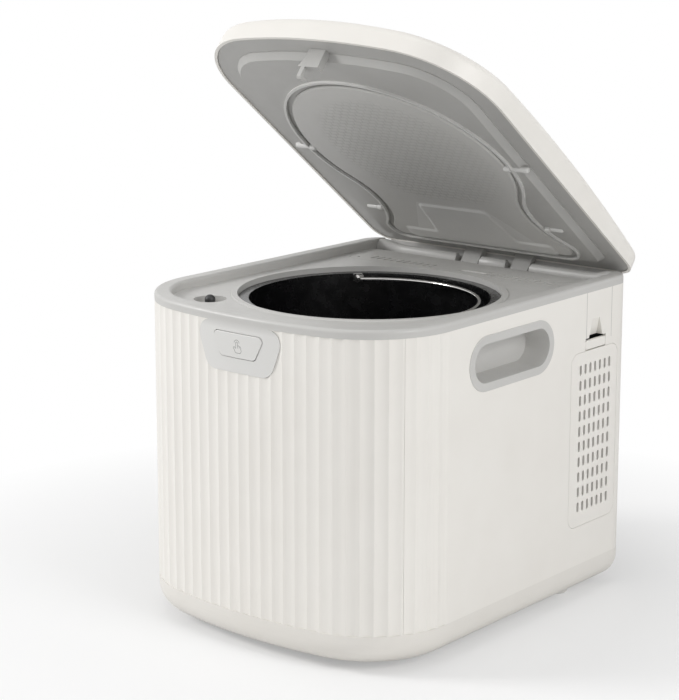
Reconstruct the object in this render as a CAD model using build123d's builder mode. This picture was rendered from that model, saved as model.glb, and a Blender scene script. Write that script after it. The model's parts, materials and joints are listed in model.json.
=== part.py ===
from build123d import *
from math import atan2, cos, degrees, radians, sin, sqrt
import os

os.makedirs("parts", exist_ok=True)

# Countertop food waste composter. X is the width, -Y the bowed front, +Z up, and the feet stand on Z = 0.
# The origin lies under the middle of the box that the part fills with its lid propped half open.

# ---- overall form ----
casing_width = 270.0
bucket_y = -18.3  # bucket axis, behind or before the origin
front_reach = 155.0  # bucket axis to the bowed front
rear_reach = 174.0  # bucket axis to the flat back
bow_radius = 400.0  # the front's gentle bow
corner_radius = 75.0
rear_radius = 20.0
least_radius = 8.0  # smallest rear corner of a deeply inset outline
shell_wall = 2.5
foot_height = 6.0
base_top = 31.0  # seam between the base pan and the casing
deck_line = 255.0  # seam between the casing and the grey deck
panel_gap = 0.3  # visible joint line between two shells
fit_gap = 0.3  # clearance of a piece in its pocket
running_gap = 0.05  # radial clearance of a shaft in its bore

half_width = casing_width / 2
front_y = bucket_y - front_reach
rear_y = bucket_y + rear_reach
bow_y = front_y + bow_radius
corner_x = half_width - corner_radius
corner_y = bow_y - sqrt((bow_radius - corner_radius) ** 2 - corner_x**2)
bow_angle = degrees(atan2(corner_y - bow_y, corner_x))


# Plan outline of the casing, drawn inset from its outer face and with Y measured from zero_y.
def plan(inset=0.0, zero_y=0.0):
    back = rear_y - zero_y - inset
    side = half_width - inset
    round_back = max(rear_radius - inset, least_radius)
    with BuildSketch(Plane.XY) as area:
        with BuildLine():
            Line((0, back), (side - round_back, back))
            CenterArc((side - round_back, back - round_back), round_back, 90, -90)
            Line((side, back - round_back), (side, corner_y - zero_y))
            CenterArc((corner_x, corner_y - zero_y), corner_radius - inset, 0, bow_angle)
            CenterArc((0, bow_y - zero_y), bow_radius - inset, bow_angle, -90 - bow_angle)
            mirror(about=Plane.YZ)
        make_face()
    return area.sketch


# A point on the right half of the front, a distance along it from the middle, and its outward angle.
def front_point(along, inset=0.0):
    bow_length = bow_radius * radians(90 + bow_angle)
    if along < bow_length:
        angle = -90 + degrees(along / bow_radius)
        reach = bow_radius - inset
        return (reach * cos(radians(angle)), bow_y + reach * sin(radians(angle))), angle
    angle = bow_angle + degrees((along - bow_length) / corner_radius)
    reach = corner_radius - inset
    return (corner_x + reach * cos(radians(angle)), corner_y + reach * sin(radians(angle))), angle


def save(builder, name):
    builder.part.label = name
    export_step(builder.part, f"parts/{name}.step")


# ---- base pan, feet and their screws ----
base_fillet = 19.0
base_floor = foot_height + 3.0
foot_radius = 9.0
foot_sink = 1.5  # depth of the pocket that holds each foot
front_foot_x = 82.0
front_foot_y = -108.0
rear_foot_x = 108.0
rear_foot_y = rear_y - 61.7
foot_screw_radius = 2.0
foot_screw_head = 4.0
foot_head_sink = 2.6
floor_slot_length = 26.0
floor_slot_width = 3.0
floor_slot_pitch = 8.0
floor_slots = 7
floor_vent_y = rear_y - 36.3
boss_radius = 5.5
boss_inset = 15.0
boss_rib = 3.0
boss_height = 24.0
boss_screw_radius = 1.8
boss_screw_head = 3.6
boss_screw_sink = 6.0

feet_at = [(-front_foot_x, front_foot_y), (front_foot_x, front_foot_y)]
feet_at += [(-rear_foot_x, rear_foot_y), (rear_foot_x, rear_foot_y)]
boss_reach = corner_radius - boss_inset
front_boss_x = corner_x + boss_reach * cos(radians(bow_angle))
front_boss_y = corner_y + boss_reach * sin(radians(bow_angle))
rear_boss_x = half_width - boss_inset
rear_boss_y = rear_y - rear_radius
front_bosses = [(-front_boss_x, front_boss_y), (front_boss_x, front_boss_y)]
rear_bosses = [(-rear_boss_x, rear_boss_y), (rear_boss_x, rear_boss_y)]


# Screw posts with the ribs that join them to the casing's wall, on the right side and mirrored.
def boss_plan(x, y, outward):
    with BuildSketch(Plane.XY) as area:
        with Locations(Location((x, y, 0), (0, 0, outward))):
            Circle(boss_radius)
            Rectangle(boss_inset - shell_wall / 2, boss_rib, align=(Align.MIN, Align.CENTER))
        mirror(about=Plane.YZ)
    return area.sketch


def tub(inset, bottom, fillet_radius):
    with BuildPart() as body:
        with BuildSketch(Plane.XY.offset(bottom)):
            add(plan(inset))
        extrude(amount=base_top - bottom)
        fillet(body.faces().sort_by(Axis.Z)[0].edges(), fillet_radius)
    return body.part


with BuildPart() as base_pan:
    add(tub(0, foot_height, base_fillet))
    add(tub(shell_wall, base_floor, base_fillet - shell_wall), mode=Mode.SUBTRACT)
    with BuildSketch(Plane.XY.offset(base_floor)):
        with Locations(*front_bosses, *rear_bosses):
            Circle(boss_radius)
    extrude(amount=base_top - base_floor)
    with BuildSketch(Plane.XY.offset(foot_height)):
        with Locations(*feet_at):
            Circle(foot_radius + running_gap)
    extrude(amount=foot_sink, mode=Mode.SUBTRACT)
    with BuildSketch(Plane.XY.offset(foot_height)):
        with Locations(*feet_at):
            Circle(foot_screw_radius)
        with Locations(*front_bosses, *rear_bosses):
            Circle(boss_screw_radius + running_gap)
        with Locations((0, floor_vent_y)):
            with GridLocations(floor_slot_pitch, 1, floor_slots, 1):
                SlotOverall(floor_slot_length, floor_slot_width, rotation=90)
    extrude(amount=base_top, mode=Mode.SUBTRACT)
    with BuildSketch(Plane.XY.offset(foot_height)):
        with Locations(*front_bosses, *rear_bosses):
            Circle(boss_screw_head + fit_gap)
    extrude(amount=boss_screw_sink, mode=Mode.SUBTRACT)
save(base_pan, "base_pan")

with BuildPart() as feet:
    with BuildSketch():
        with Locations(*feet_at):
            Circle(foot_radius)
    extrude(amount=foot_height + foot_sink)
    fillet(feet.edges().group_by(Axis.Z)[0], 1.5)
    with BuildSketch():
        with Locations(*feet_at):
            Circle(foot_screw_head + fit_gap)
    extrude(amount=foot_head_sink, mode=Mode.SUBTRACT)
    with BuildSketch():
        with Locations(*feet_at):
            Circle(foot_screw_radius)
    extrude(amount=foot_height + foot_sink, mode=Mode.SUBTRACT)
save(feet, "feet")

with BuildPart() as base_screws:
    with BuildSketch(Plane.XY.offset(foot_height + boss_screw_sink - 2.4)):
        with Locations(*front_bosses, *rear_bosses):
            Circle(boss_screw_head)
    extrude(amount=2.4)
    with BuildSketch(Plane.XY.offset(foot_height + boss_screw_sink)):
        with Locations(*front_bosses, *rear_bosses):
            Circle(boss_screw_radius)
    extrude(amount=base_top + boss_height - 6.0 - foot_height - boss_screw_sink)
    with BuildSketch(Plane.XY.offset(1.0)):
        with Locations(*feet_at):
            Circle(foot_screw_head)
    extrude(amount=foot_head_sink - 1.0)
    with BuildSketch(Plane.XY.offset(foot_head_sink)):
        with Locations(*feet_at):
            Circle(foot_screw_radius)
    extrude(amount=base_floor + 3.0 - foot_head_sink)
save(base_screws, "base_screws")

# ---- casing: fluted front panel and plain sides and back ----
flute_pitch = 10.5
flute_radius = 17.0
flute_depth = 0.9
flutes_per_side = 17
panel_split_y = -130.9  # joint line between the front panel and the sides
tongue_top_half = 45.0  # the deck's front tongue, at the casing's top
tongue_foot_half = 31.0
tongue_drop = 37.0
tongue_corner = 11.0
ledge_depth = 22.3
ledge_y = rear_y - ledge_depth  # the deck drops to its hinge ledge behind this line
ledge_top = 248.0
ledge_apron = 6.0  # height of the deck's own back edge below the ledge
deck_lip_width = 13.5
ledge_half = half_width - deck_lip_width  # the ledge ends at the lip's two sides

flute_centres = []
for number in range(flutes_per_side):
    at, outward = front_point((number + 0.5) * flute_pitch)
    reach = flute_radius - flute_depth
    x, y = at[0] + reach * cos(radians(outward)), at[1] + reach * sin(radians(outward))
    flute_centres += [(x, y), (-x, y)]


# The trapezoid of the front tongue, grown by a margin, seen from the front.
def tongue_face(margin=0.0):
    with BuildSketch(Plane.XZ) as area:
        with BuildLine():
            Polyline(
                (-tongue_foot_half - margin, deck_line - tongue_drop - margin),
                (tongue_foot_half + margin, deck_line - tongue_drop - margin),
                (tongue_top_half + margin, deck_line),
                (-tongue_top_half - margin, deck_line),
                close=True,
            )
        make_face()
        fillet(area.vertices().group_by(Axis.Z)[0], tongue_corner)
    return area.sketch


# The casing's wall seen from above, between two lines across it.
def wall_plan(low_y, high_y, fluted=True):
    with BuildSketch(Plane.XY) as area:
        add(plan())
        add(plan(shell_wall), mode=Mode.SUBTRACT)
        if fluted:
            with Locations(*flute_centres):
                Circle(flute_radius, mode=Mode.SUBTRACT)
        with Locations((0, (low_y + high_y) / 2)):
            Rectangle(casing_width * 2, high_y - low_y, mode=Mode.INTERSECT)
    return area.sketch


with BuildPart() as front_panel:
    with BuildSketch(Plane.XY.offset(base_top)):
        add(wall_plan(front_y - 10, panel_split_y - panel_gap / 2))
    extrude(amount=deck_line - base_top)
    with BuildSketch(Plane.XZ.offset(-front_y - 30)):
        add(tongue_face(panel_gap / 2))
    extrude(amount=60, mode=Mode.SUBTRACT)
    with BuildSketch(Plane.XY.offset(base_top)):
        add(boss_plan(front_boss_x, front_boss_y, bow_angle))
    extrude(amount=boss_height)
    with BuildSketch(Plane.XY.offset(base_top)):
        with Locations(*front_bosses):
            Circle(boss_screw_radius + running_gap)
    extrude(amount=boss_height - 3, mode=Mode.SUBTRACT)
save(front_panel, "front_panel")

# ---- carrying recesses in both sides ----
handle_y = -12.6
handle_z = 222.7
handle_length = 110.4
handle_height = 43.0
handle_rim = 6.5  # width of the light bezel
handle_proud = 0.6
handle_depth = 23.0
handle_wall = 2.0

# ---- filter drawer in the right side ----
drawer_y = rear_y - 54.1
drawer_length = 67.0
drawer_bottom = 63.5
drawer_top = 208.0
drawer_corner = 9.0
drawer_panel_wall = 2.4
drawer_depth = 72.0
bay_wall = 1.8
latch_width = 29.0
latch_height = 9.4
latch_opening_gap = 0.5
latch_y = drawer_y + 0.7
scoop_height = 15.6
scoop_half = 10.0
scoop_tip_half = 5.0
scoop_sink = 6.0  # depth of the scoop at its foot, behind the tab
scoop_wall = 2.0
scoop_lip = 0.3  # depth of the scoop at its tip

# ---- mains inlet and cooling slots in the back ----
inlet_x = -85.0
inlet_z = 62.0
inlet_width = 27.4
inlet_height = 19.8
inlet_depth = 24.0
inlet_flange = 4.0
louvre_x = 30.0
louvre_z = 62.0
louvre_length = 30.0
louvre_width = 3.0
louvre_pitch = 8.0
louvres = 8

# ---- main board's standoffs inside the left wall ----
board_x = -half_width + 8.5
board_y = rear_y - 54.3
board_mid_z = 125.0
board_length = 76.0
board_height = 126.0
standoff_radius = 3.0
board_plane = Plane(origin=(board_x, board_y, board_mid_z), x_dir=(0, 1, 0), z_dir=(1, 0, 0))

side_plane = Plane(origin=(half_width, 0, 0), x_dir=(0, 1, 0), z_dir=(1, 0, 0))
left_plane = Plane(origin=(-half_width, 0, 0), x_dir=(0, -1, 0), z_dir=(-1, 0, 0))
back_plane = Plane(origin=(0, rear_y, 0), x_dir=(-1, 0, 0), z_dir=(0, 1, 0))
latch_z = drawer_top + latch_height / 2
scoop_z = drawer_top + latch_height
scoop_tip = scoop_z + scoop_height
side_view = Plane(origin=(half_width, latch_y, 0), x_dir=(-1, 0, 0), z_dir=(0, 1, 0))


# The wedge of the finger scoop, grown by a margin: deep at its foot over the tab, shallow at its tip.
def scoop_wedge(margin, foot_depth, tip_depth):
    with BuildPart() as wedge:
        with BuildSketch(side_plane):
            with BuildLine():
                Polyline(
                    (latch_y - scoop_half - margin, scoop_z),
                    (latch_y + scoop_half + margin, scoop_z),
                    (latch_y + scoop_tip_half + margin, scoop_tip + margin),
                    (latch_y - scoop_tip_half - margin, scoop_tip + margin),
                    close=True,
                )
            make_face()
        extrude(amount=-foot_depth)
        with BuildSketch(side_view):
            with BuildLine():
                Polyline(
                    (0, scoop_z),
                    (foot_depth, scoop_z),
                    (tip_depth, scoop_tip + margin),
                    (0, scoop_tip + margin),
                    close=True,
                )
            make_face()
        extrude(amount=latch_width, both=True, mode=Mode.INTERSECT)
    return wedge.part


with BuildPart() as rear_casing:
    with BuildSketch(Plane.XY.offset(base_top)):
        add(wall_plan(panel_split_y + panel_gap / 2, rear_y + 10))
    extrude(amount=deck_line - base_top)
    with BuildSketch(Plane.XY.offset(ledge_top - ledge_apron)):
        with Locations((0, ledge_y + 50)):
            Rectangle(2 * ledge_half, 100)
    extrude(amount=50, mode=Mode.SUBTRACT)
    with BuildSketch(Plane.XY.offset(base_top)):
        add(boss_plan(rear_boss_x, rear_boss_y, 0))
    extrude(amount=boss_height)
    with BuildSketch(Plane.XY.offset(base_top)):
        with Locations(*rear_bosses):
            Circle(boss_screw_radius + running_gap)
    extrude(amount=boss_height - 3, mode=Mode.SUBTRACT)
    with BuildSketch(board_plane):
        with GridLocations(board_length - 10, board_height - 10, 2, 2):
            Circle(standoff_radius)
    extrude(amount=-half_width + shell_wall / 2 - board_x)
    with BuildSketch(side_plane):
        with Locations((handle_y, handle_z)):
            SlotOverall(handle_length - handle_rim, handle_height - handle_rim)
    extrude(amount=-casing_width, mode=Mode.SUBTRACT)
    add(scoop_wedge(scoop_wall, scoop_sink + scoop_wall, shell_wall))
    add(scoop_wedge(0, scoop_sink, scoop_lip), mode=Mode.SUBTRACT)
    with BuildSketch(side_plane):
        with Locations((drawer_y, (drawer_bottom + drawer_top) / 2)):
            RectangleRounded(drawer_length, drawer_top - drawer_bottom, drawer_corner)
        with Locations((latch_y, latch_z)):
            Rectangle(latch_width, latch_height + 2 * latch_opening_gap)
    extrude(amount=-casing_width / 2, mode=Mode.SUBTRACT)
    with BuildSketch(back_plane):
        with Locations((-inlet_x, inlet_z)):
            RectangleRounded(inlet_width + 2 * fit_gap, inlet_height + 2 * fit_gap, 2)
        with Locations((-louvre_x, louvre_z)):
            with GridLocations(louvre_pitch, 1, louvres, 1):
                SlotOverall(louvre_length, louvre_width, rotation=90)
    extrude(amount=-shell_wall * 2, mode=Mode.SUBTRACT)
save(rear_casing, "rear_casing")


def handle_cup(side):
    middle = (handle_y * (1 if side is side_plane else -1), handle_z)
    rim = handle_rim + 2 * fit_gap
    with BuildPart() as cup:
        with BuildSketch(side):
            with Locations(middle):
                SlotOverall(handle_length, handle_height)
        extrude(amount=handle_proud)
        fillet(cup.faces().sort_by(Axis.X)[-1 if side is side_plane else 0].edges(), handle_proud * 0.6)
        with BuildSketch(side):
            with Locations(middle):
                SlotOverall(handle_length - rim, handle_height - rim)
        extrude(amount=-handle_depth)
        with BuildSketch(side.offset(handle_proud)):
            with Locations(middle):
                SlotOverall(handle_length - 2 * handle_rim, handle_height - 2 * handle_rim)
        extrude(amount=-handle_depth - handle_proud + handle_wall, mode=Mode.SUBTRACT, taper=3)
    return cup


handle_cup_right = handle_cup(side_plane)
save(handle_cup_right, "handle_cup_right")
handle_cup_left = handle_cup(left_plane)
save(handle_cup_left, "handle_cup_left")

# ---- bucket and its well ----
flange_radius = 104.0
flange_top = 251.6
flange_thickness = 1.2
mouth_radius = 96.0
bucket_wall = 1.2
bucket_taper = 5.0  # the bucket is this much narrower at its floor
bucket_floor = 98.0
bucket_corner = 9.0
deck_hole_gap = 1.0
well_gap = 1.6  # air between the bucket and its well
well_wall = 1.5
well_bottom = 88.5
well_lip_width = 4.0
well_lip_thickness = 2.4
gasket_thickness = 0.5

bucket_axis = Axis((0, bucket_y, 0), (0, 0, 1))
section = Plane(origin=(0, bucket_y, 0), x_dir=(1, 0, 0), z_dir=(0, -1, 0))
flange_under = flange_top - flange_thickness
gasket_z = flange_under - gasket_thickness
well_radius = mouth_radius + bucket_wall + well_gap
well_outer = well_radius + well_wall
well_lip_radius = well_outer + well_lip_width
deck_hole = flange_radius + deck_hole_gap

# ---- agitator drive below the bucket ----
shaft_radius = 6.0
spindle_radius = 8.0
bushing_radius = 12.0
hub_height = 10.0
heater_radius = 72.0
heater_thickness = 6.5
heater_bore = 16.5

with BuildPart() as bucket:
    with BuildSketch(section):
        with BuildLine():
            Polyline(
                (bushing_radius + running_gap, bucket_floor),
                (mouth_radius + bucket_wall - bucket_taper, bucket_floor),
                (mouth_radius + bucket_wall, flange_under),
                (flange_radius, flange_under),
                (flange_radius, flange_top),
                (mouth_radius, flange_top),
                (mouth_radius - bucket_taper, bucket_floor + bucket_wall),
                (bushing_radius + 2 + running_gap, bucket_floor + bucket_wall),
                (bushing_radius + 2 + running_gap, bucket_floor + hub_height),
                (bushing_radius + running_gap, bucket_floor + hub_height),
                close=True,
            )
        make_face()
    revolve(axis=bucket_axis)
    outer_foot = bucket.edges().filter_by(GeomType.CIRCLE).group_by(Axis.Z)[0].sort_by(SortBy.RADIUS)[-1]
    fillet(outer_foot, bucket_corner)
    inner_foot = bucket.edges().filter_by(GeomType.CIRCLE).group_by(Axis.Z)[1].sort_by(SortBy.RADIUS)[-1]
    fillet(inner_foot, bucket_corner - bucket_wall)
save(bucket, "bucket")

with BuildPart() as bucket_bushing:
    with BuildSketch(Plane.XY.offset(bucket_floor)):
        with Locations((0, bucket_y)):
            Circle(bushing_radius)
            Circle(spindle_radius + running_gap, mode=Mode.SUBTRACT)
    extrude(amount=hub_height + 1)
save(bucket_bushing, "bucket_bushing")

well_floor = well_bottom + well_wall
with BuildPart() as well_liner:
    with BuildSketch(section):
        with BuildLine():
            Polyline(
                (heater_bore, well_bottom),
                (well_outer - bucket_taper, well_bottom),
                (well_outer, gasket_z - well_lip_thickness),
                (well_lip_radius, gasket_z - well_lip_thickness),
                (well_lip_radius, gasket_z),
                (well_radius, gasket_z),
                (well_radius - bucket_taper, well_floor),
                (heater_bore, well_floor),
                close=True,
            )
        make_face()
    revolve(axis=bucket_axis)
save(well_liner, "well_liner")

with BuildPart() as well_gasket:
    with BuildSketch(Plane.XY.offset(gasket_z)):
        with Locations((0, bucket_y)):
            Circle(flange_radius - 1)
            Circle(well_radius + 1, mode=Mode.SUBTRACT)
    extrude(amount=gasket_thickness)
save(well_gasket, "well_gasket")

with BuildPart() as heater_plate:
    with BuildSketch(Plane.XY.offset(well_floor)):
        with Locations((0, bucket_y)):
            Circle(heater_radius)
            Circle(heater_bore, mode=Mode.SUBTRACT)
    extrude(amount=heater_thickness)
    chamfer(heater_plate.edges().group_by(Axis.Z)[-1], 0.8)
    with BuildSketch(Plane.XY.offset(well_floor)):
        with Locations((0, bucket_y)):
            Circle(heater_radius - 14)
            Circle(heater_radius - 20, mode=Mode.SUBTRACT)
    extrude(amount=2, mode=Mode.SUBTRACT)
save(heater_plate, "heater_plate")

# ---- bail ----
bail_radius = 87.0
bail_wire = 1.5
bail_z = 248.4
lug_length = 7.0
lug_width = 9.0

bail_diagonal = (sqrt(0.5), -sqrt(0.5))
bail_centre = (0, bucket_y, bail_z)
diagonal_plane = Plane(origin=bail_centre, x_dir=(0, 0, 1), z_dir=(*bail_diagonal, 0))
with BuildPart() as bail:
    with BuildSketch(Plane(origin=bail_centre, x_dir=(*bail_diagonal, 0), z_dir=(sqrt(0.5), sqrt(0.5), 0))):
        with Locations((bail_radius, 0)):
            Circle(bail_wire)
    revolve(axis=Axis(bail_centre, (0, 0, 1)), revolution_arc=180)
    for side in (-1, 1):
        with BuildSketch(diagonal_plane.offset(side * (bail_radius - bail_wire))):
            Circle(bail_wire)
        extrude(amount=side * (mouth_radius - bail_radius + bail_wire - 1.5))
save(bail, "bail")

with BuildPart() as bail_lugs:
    for side in (-1, 1):
        with BuildSketch(diagonal_plane.offset(side * (mouth_radius - 0.5))):
            RectangleRounded(lug_length, lug_width, 2)
            Circle(bail_wire + running_gap, mode=Mode.SUBTRACT)
        extrude(amount=-side * 4.2)
    with BuildSketch(Plane.XY.offset(bucket_floor)):
        with Locations((0, bucket_y)):
            Circle(mouth_radius - 0.6)
    extrude(amount=flange_top, mode=Mode.INTERSECT)
save(bail_lugs, "bail_lugs")

# ---- gear train: motor pinion, idler and output gear ----
tooth_module = 1.25
output_teeth = 60
idler_pinion_teeth = 15
idler_teeth = 48
motor_teeth = 12
train_angle = 120.0
gear_face = 10.0
tooth_share = 0.43  # tooth width at the pitch circle, as a share of the pitch
gearbox_wall = 2.5
gearbox_floor = base_floor + 3.0
gearbox_top = 46.0
cover_thickness = 4.0
axle_radius = 3.0
bearing_radius = 11.0
bearing_height = 4.0
motor_radius = 24.0
motor_height = 32.0
gear_room = 3.0

output_pitch = tooth_module * output_teeth / 2
idler_pinion_pitch = tooth_module * idler_pinion_teeth / 2
idler_pitch = tooth_module * idler_teeth / 2
motor_pitch = tooth_module * motor_teeth / 2
first_span = output_pitch + idler_pinion_pitch
second_span = idler_pitch + motor_pitch
train_way = (cos(radians(train_angle)), sin(radians(train_angle)))
output_at = (0, bucket_y)
idler_at = (first_span * train_way[0], bucket_y + first_span * train_way[1])
motor_span = first_span + second_span
motor_at = (motor_span * train_way[0], bucket_y + motor_span * train_way[1])
bearing_z = gearbox_floor
output_gear_z = bearing_z + bearing_height + 1
idler_gear_z = output_gear_z + gear_face + gear_room
cover_z = gearbox_top
gear_tip = tooth_module
gear_root = 1.25 * tooth_module


# Straight-flanked gear outline; a tooth points along first_tooth.
def gear_face_plan(teeth, bore, first_tooth):
    pitch_radius = tooth_module * teeth / 2
    half = tooth_share * tooth_module * 3.1416 / 2
    lean = sin(radians(20)) / cos(radians(20))
    low, high = pitch_radius - gear_root - 0.3, pitch_radius + gear_tip
    low_half = half + (gear_root + 0.3) * lean
    high_half = half - gear_tip * lean
    with BuildSketch(Plane.XY) as area:
        Circle(pitch_radius - gear_root)
        with PolarLocations(0, teeth, start_angle=first_tooth):
            with BuildLine():
                Polyline((low, -low_half), (low, low_half), (high, high_half), (high, -high_half), close=True)
            make_face()
        Circle(bore, mode=Mode.SUBTRACT)
    return area.sketch


with BuildPart() as output_gear:
    with BuildSketch(Plane.XY.offset(output_gear_z)):
        with Locations(output_at):
            add(gear_face_plan(output_teeth, shaft_radius + running_gap, train_angle))
    extrude(amount=gear_face)
    with BuildSketch(Plane.XY.offset(output_gear_z + gear_face / 2)):
        with Locations(output_at):
            Circle(output_pitch - 4)
            Circle(shaft_radius + 5, mode=Mode.SUBTRACT)
    extrude(amount=gear_face, mode=Mode.SUBTRACT)
save(output_gear, "output_gear")

with BuildPart() as idler_gear:
    with BuildSketch(Plane.XY.offset(output_gear_z)):
        with Locations(idler_at):
            add(gear_face_plan(idler_pinion_teeth, axle_radius + running_gap,
                               train_angle + 180 + 180 / idler_pinion_teeth))
    extrude(amount=gear_face + gear_room)
    with BuildSketch(Plane.XY.offset(idler_gear_z)):
        with Locations(idler_at):
            add(gear_face_plan(idler_teeth, axle_radius + running_gap, train_angle))
    extrude(amount=gear_face - 2)
save(idler_gear, "idler_gear")

with BuildPart() as motor_pinion:
    with BuildSketch(Plane.XY.offset(idler_gear_z - 1)):
        with Locations(motor_at):
            add(gear_face_plan(motor_teeth, 0.5, train_angle + 180 + 180 / motor_teeth))
    extrude(amount=gear_face)
    with BuildSketch(Plane.XY.offset(idler_gear_z - 1)):
        with Locations(motor_at):
            Circle(axle_radius)
    extrude(amount=cover_z + cover_thickness + motor_height - idler_gear_z - 2)
save(motor_pinion, "motor_pinion")


def gearbox_plan(margin=0.0):
    with BuildSketch(Plane.XY) as area:
        with Locations(output_at):
            Circle(output_pitch + gear_room + gear_tip + margin)
        with Locations(idler_at):
            Circle(idler_pitch + gear_room + gear_tip + margin)
        with Locations(motor_at):
            Circle(motor_pitch + gear_room + gear_tip + margin)
        make_hull()
    return area.sketch


with BuildPart() as gearbox_housing:
    with BuildSketch(Plane.XY.offset(base_floor)):
        add(gearbox_plan(gearbox_wall))
    extrude(amount=gearbox_top - base_floor)
    with BuildSketch(Plane.XY.offset(gearbox_floor)):
        add(gearbox_plan())
    extrude(amount=gearbox_top, mode=Mode.SUBTRACT)
    with BuildSketch(Plane.XY.offset(gearbox_floor)):
        with Locations(output_at):
            Circle(bearing_radius + 2)
            Circle(bearing_radius + running_gap, mode=Mode.SUBTRACT)
        with Locations(idler_at):
            Circle(axle_radius + 2)
    extrude(amount=bearing_height)
    with BuildSketch(Plane.XY.offset(base_floor + 1)):
        with Locations(idler_at):
            Circle(axle_radius + running_gap)
    extrude(amount=gearbox_top, mode=Mode.SUBTRACT)
save(gearbox_housing, "gearbox_housing")

with BuildPart() as gearbox_cover:
    with BuildSketch(Plane.XY.offset(cover_z)):
        add(gearbox_plan(gearbox_wall))
    extrude(amount=cover_thickness)
    with BuildSketch(Plane.XY.offset(cover_z)):
        with Locations(output_at):
            Circle(bearing_radius + 2)
    extrude(amount=cover_thickness + 3)
    with BuildSketch(Plane.XY.offset(cover_z + 1)):
        with Locations(output_at):
            Circle(bearing_radius + running_gap)
    extrude(amount=cover_thickness + 3, mode=Mode.SUBTRACT)
    with BuildSketch(Plane.XY.offset(cover_z)):
        with Locations(output_at):
            Circle(shaft_radius + 1)
        with Locations(idler_at, motor_at):
            Circle(axle_radius + running_gap)
    extrude(amount=cover_thickness + 3, mode=Mode.SUBTRACT)
save(gearbox_cover, "gearbox_cover")

with BuildPart() as bearings:
    for level in (bearing_z, cover_z + 1):
        with BuildSketch(Plane.XY.offset(level)):
            with Locations(output_at):
                Circle(bearing_radius)
                Circle(shaft_radius + running_gap, mode=Mode.SUBTRACT)
        extrude(amount=bearing_height)
save(bearings, "bearings")

with BuildPart() as idler_axle:
    with BuildSketch(Plane.XY.offset(base_floor + 1)):
        with Locations(idler_at):
            Circle(axle_radius)
    extrude(amount=cover_z + cover_thickness - base_floor - 1)
save(idler_axle, "idler_axle")

with BuildPart() as motor_can:
    with BuildSketch(Plane.XY.offset(cover_z + cover_thickness)):
        with Locations(motor_at):
            Circle(motor_radius)
    extrude(amount=motor_height)
    fillet(motor_can.edges().group_by(Axis.Z)[-1], 2)
    with BuildSketch(Plane.XY.offset(cover_z + cover_thickness)):
        with Locations(motor_at):
            Circle(axle_radius + running_gap)
    extrude(amount=motor_height - 1, mode=Mode.SUBTRACT)
save(motor_can, "motor_can")

# ---- output shaft, dog drive, seal and agitator ----
dog_across = 13.0
dog_gap = 0.1
spindle_bottom = 92.5
dog_top = 99.0
seal_height = 3.0
hub_radius = 17.0
hub_top = 148.0
paddle_reach = 84.0
paddle_height = 13.0
paddle_thickness = 5.0
paddle_gap = 1.5
stirrer_post_height = 46.0

with BuildPart() as output_shaft:
    with BuildSketch(Plane.XY.offset(gearbox_floor)):
        with Locations(output_at):
            Circle(shaft_radius)
    extrude(amount=spindle_bottom - gearbox_floor)
    with BuildSketch(Plane.XY.offset(spindle_bottom)):
        with Locations(output_at):
            RegularPolygon(dog_across / 2, 6, major_radius=False)
    extrude(amount=dog_top - spindle_bottom)
save(output_shaft, "output_shaft")

with BuildPart() as shaft_seal:
    with BuildSketch(Plane.XY.offset(well_bottom)):
        with Locations(output_at):
            Circle(heater_bore - fit_gap / 2)
            Circle(shaft_radius + running_gap, mode=Mode.SUBTRACT)
    extrude(amount=seal_height)
save(shaft_seal, "shaft_seal")

agitator_z = bucket_floor + hub_height + 1 + fit_gap
paddle_z = bucket_floor + bucket_wall + paddle_gap
with BuildPart() as agitator:
    with BuildSketch(Plane.XY.offset(spindle_bottom)):
        with Locations(output_at):
            Circle(spindle_radius)
            RegularPolygon(dog_across / 2 + dog_gap, 6, major_radius=False, mode=Mode.SUBTRACT)
    extrude(amount=dog_top + fit_gap - spindle_bottom)
    with BuildSketch(Plane.XY.offset(dog_top + fit_gap)):
        with Locations(output_at):
            Circle(spindle_radius)
    extrude(amount=agitator_z - dog_top - fit_gap)
    with BuildSketch(Plane.XY.offset(agitator_z)):
        with Locations(output_at):
            Circle(hub_radius)
    extrude(amount=hub_top - agitator_z, taper=8)
    fillet(agitator.edges().group_by(Axis.Z)[-1], 4)
    with BuildSketch(Plane.XY.offset(agitator_z)):
        with Locations(output_at):
            with PolarLocations(0, 3):
                with Locations(((paddle_reach + hub_radius - 4) / 2, 0)):
                    SlotOverall(paddle_reach - hub_radius + 4, paddle_thickness)
    extrude(amount=paddle_height)
    with BuildSketch(Plane.XY.offset(paddle_z)):
        with Locations(output_at):
            with PolarLocations(paddle_reach - 14, 3):
                SlotOverall(26, paddle_thickness)
    extrude(amount=agitator_z - paddle_z + 1)
    with BuildSketch(Plane.XY.offset(agitator_z + paddle_height)):
        with Locations(output_at):
            with PolarLocations(paddle_reach - 16, 3):
                Circle(paddle_thickness * 0.7)
    extrude(amount=stirrer_post_height, taper=2)
save(agitator, "agitator")

heat_shield_gap = 2.0
shield_rim = 2.0
with BuildPart() as heat_shield:
    with BuildSketch(Plane.XY.offset(well_bottom - heat_shield_gap - 1)):
        with Locations(output_at):
            Circle(well_outer - bucket_taper - 4)
            Circle(heater_bore + 4, mode=Mode.SUBTRACT)
    extrude(amount=1)
    with BuildSketch(Plane.XY.offset(well_bottom - heat_shield_gap)):
        with Locations(output_at):
            Circle(well_outer - bucket_taper - 4)
            Circle(well_outer - bucket_taper - 4 - shield_rim, mode=Mode.SUBTRACT)
    extrude(amount=heat_shield_gap)
save(heat_shield, "heat_shield")

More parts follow.
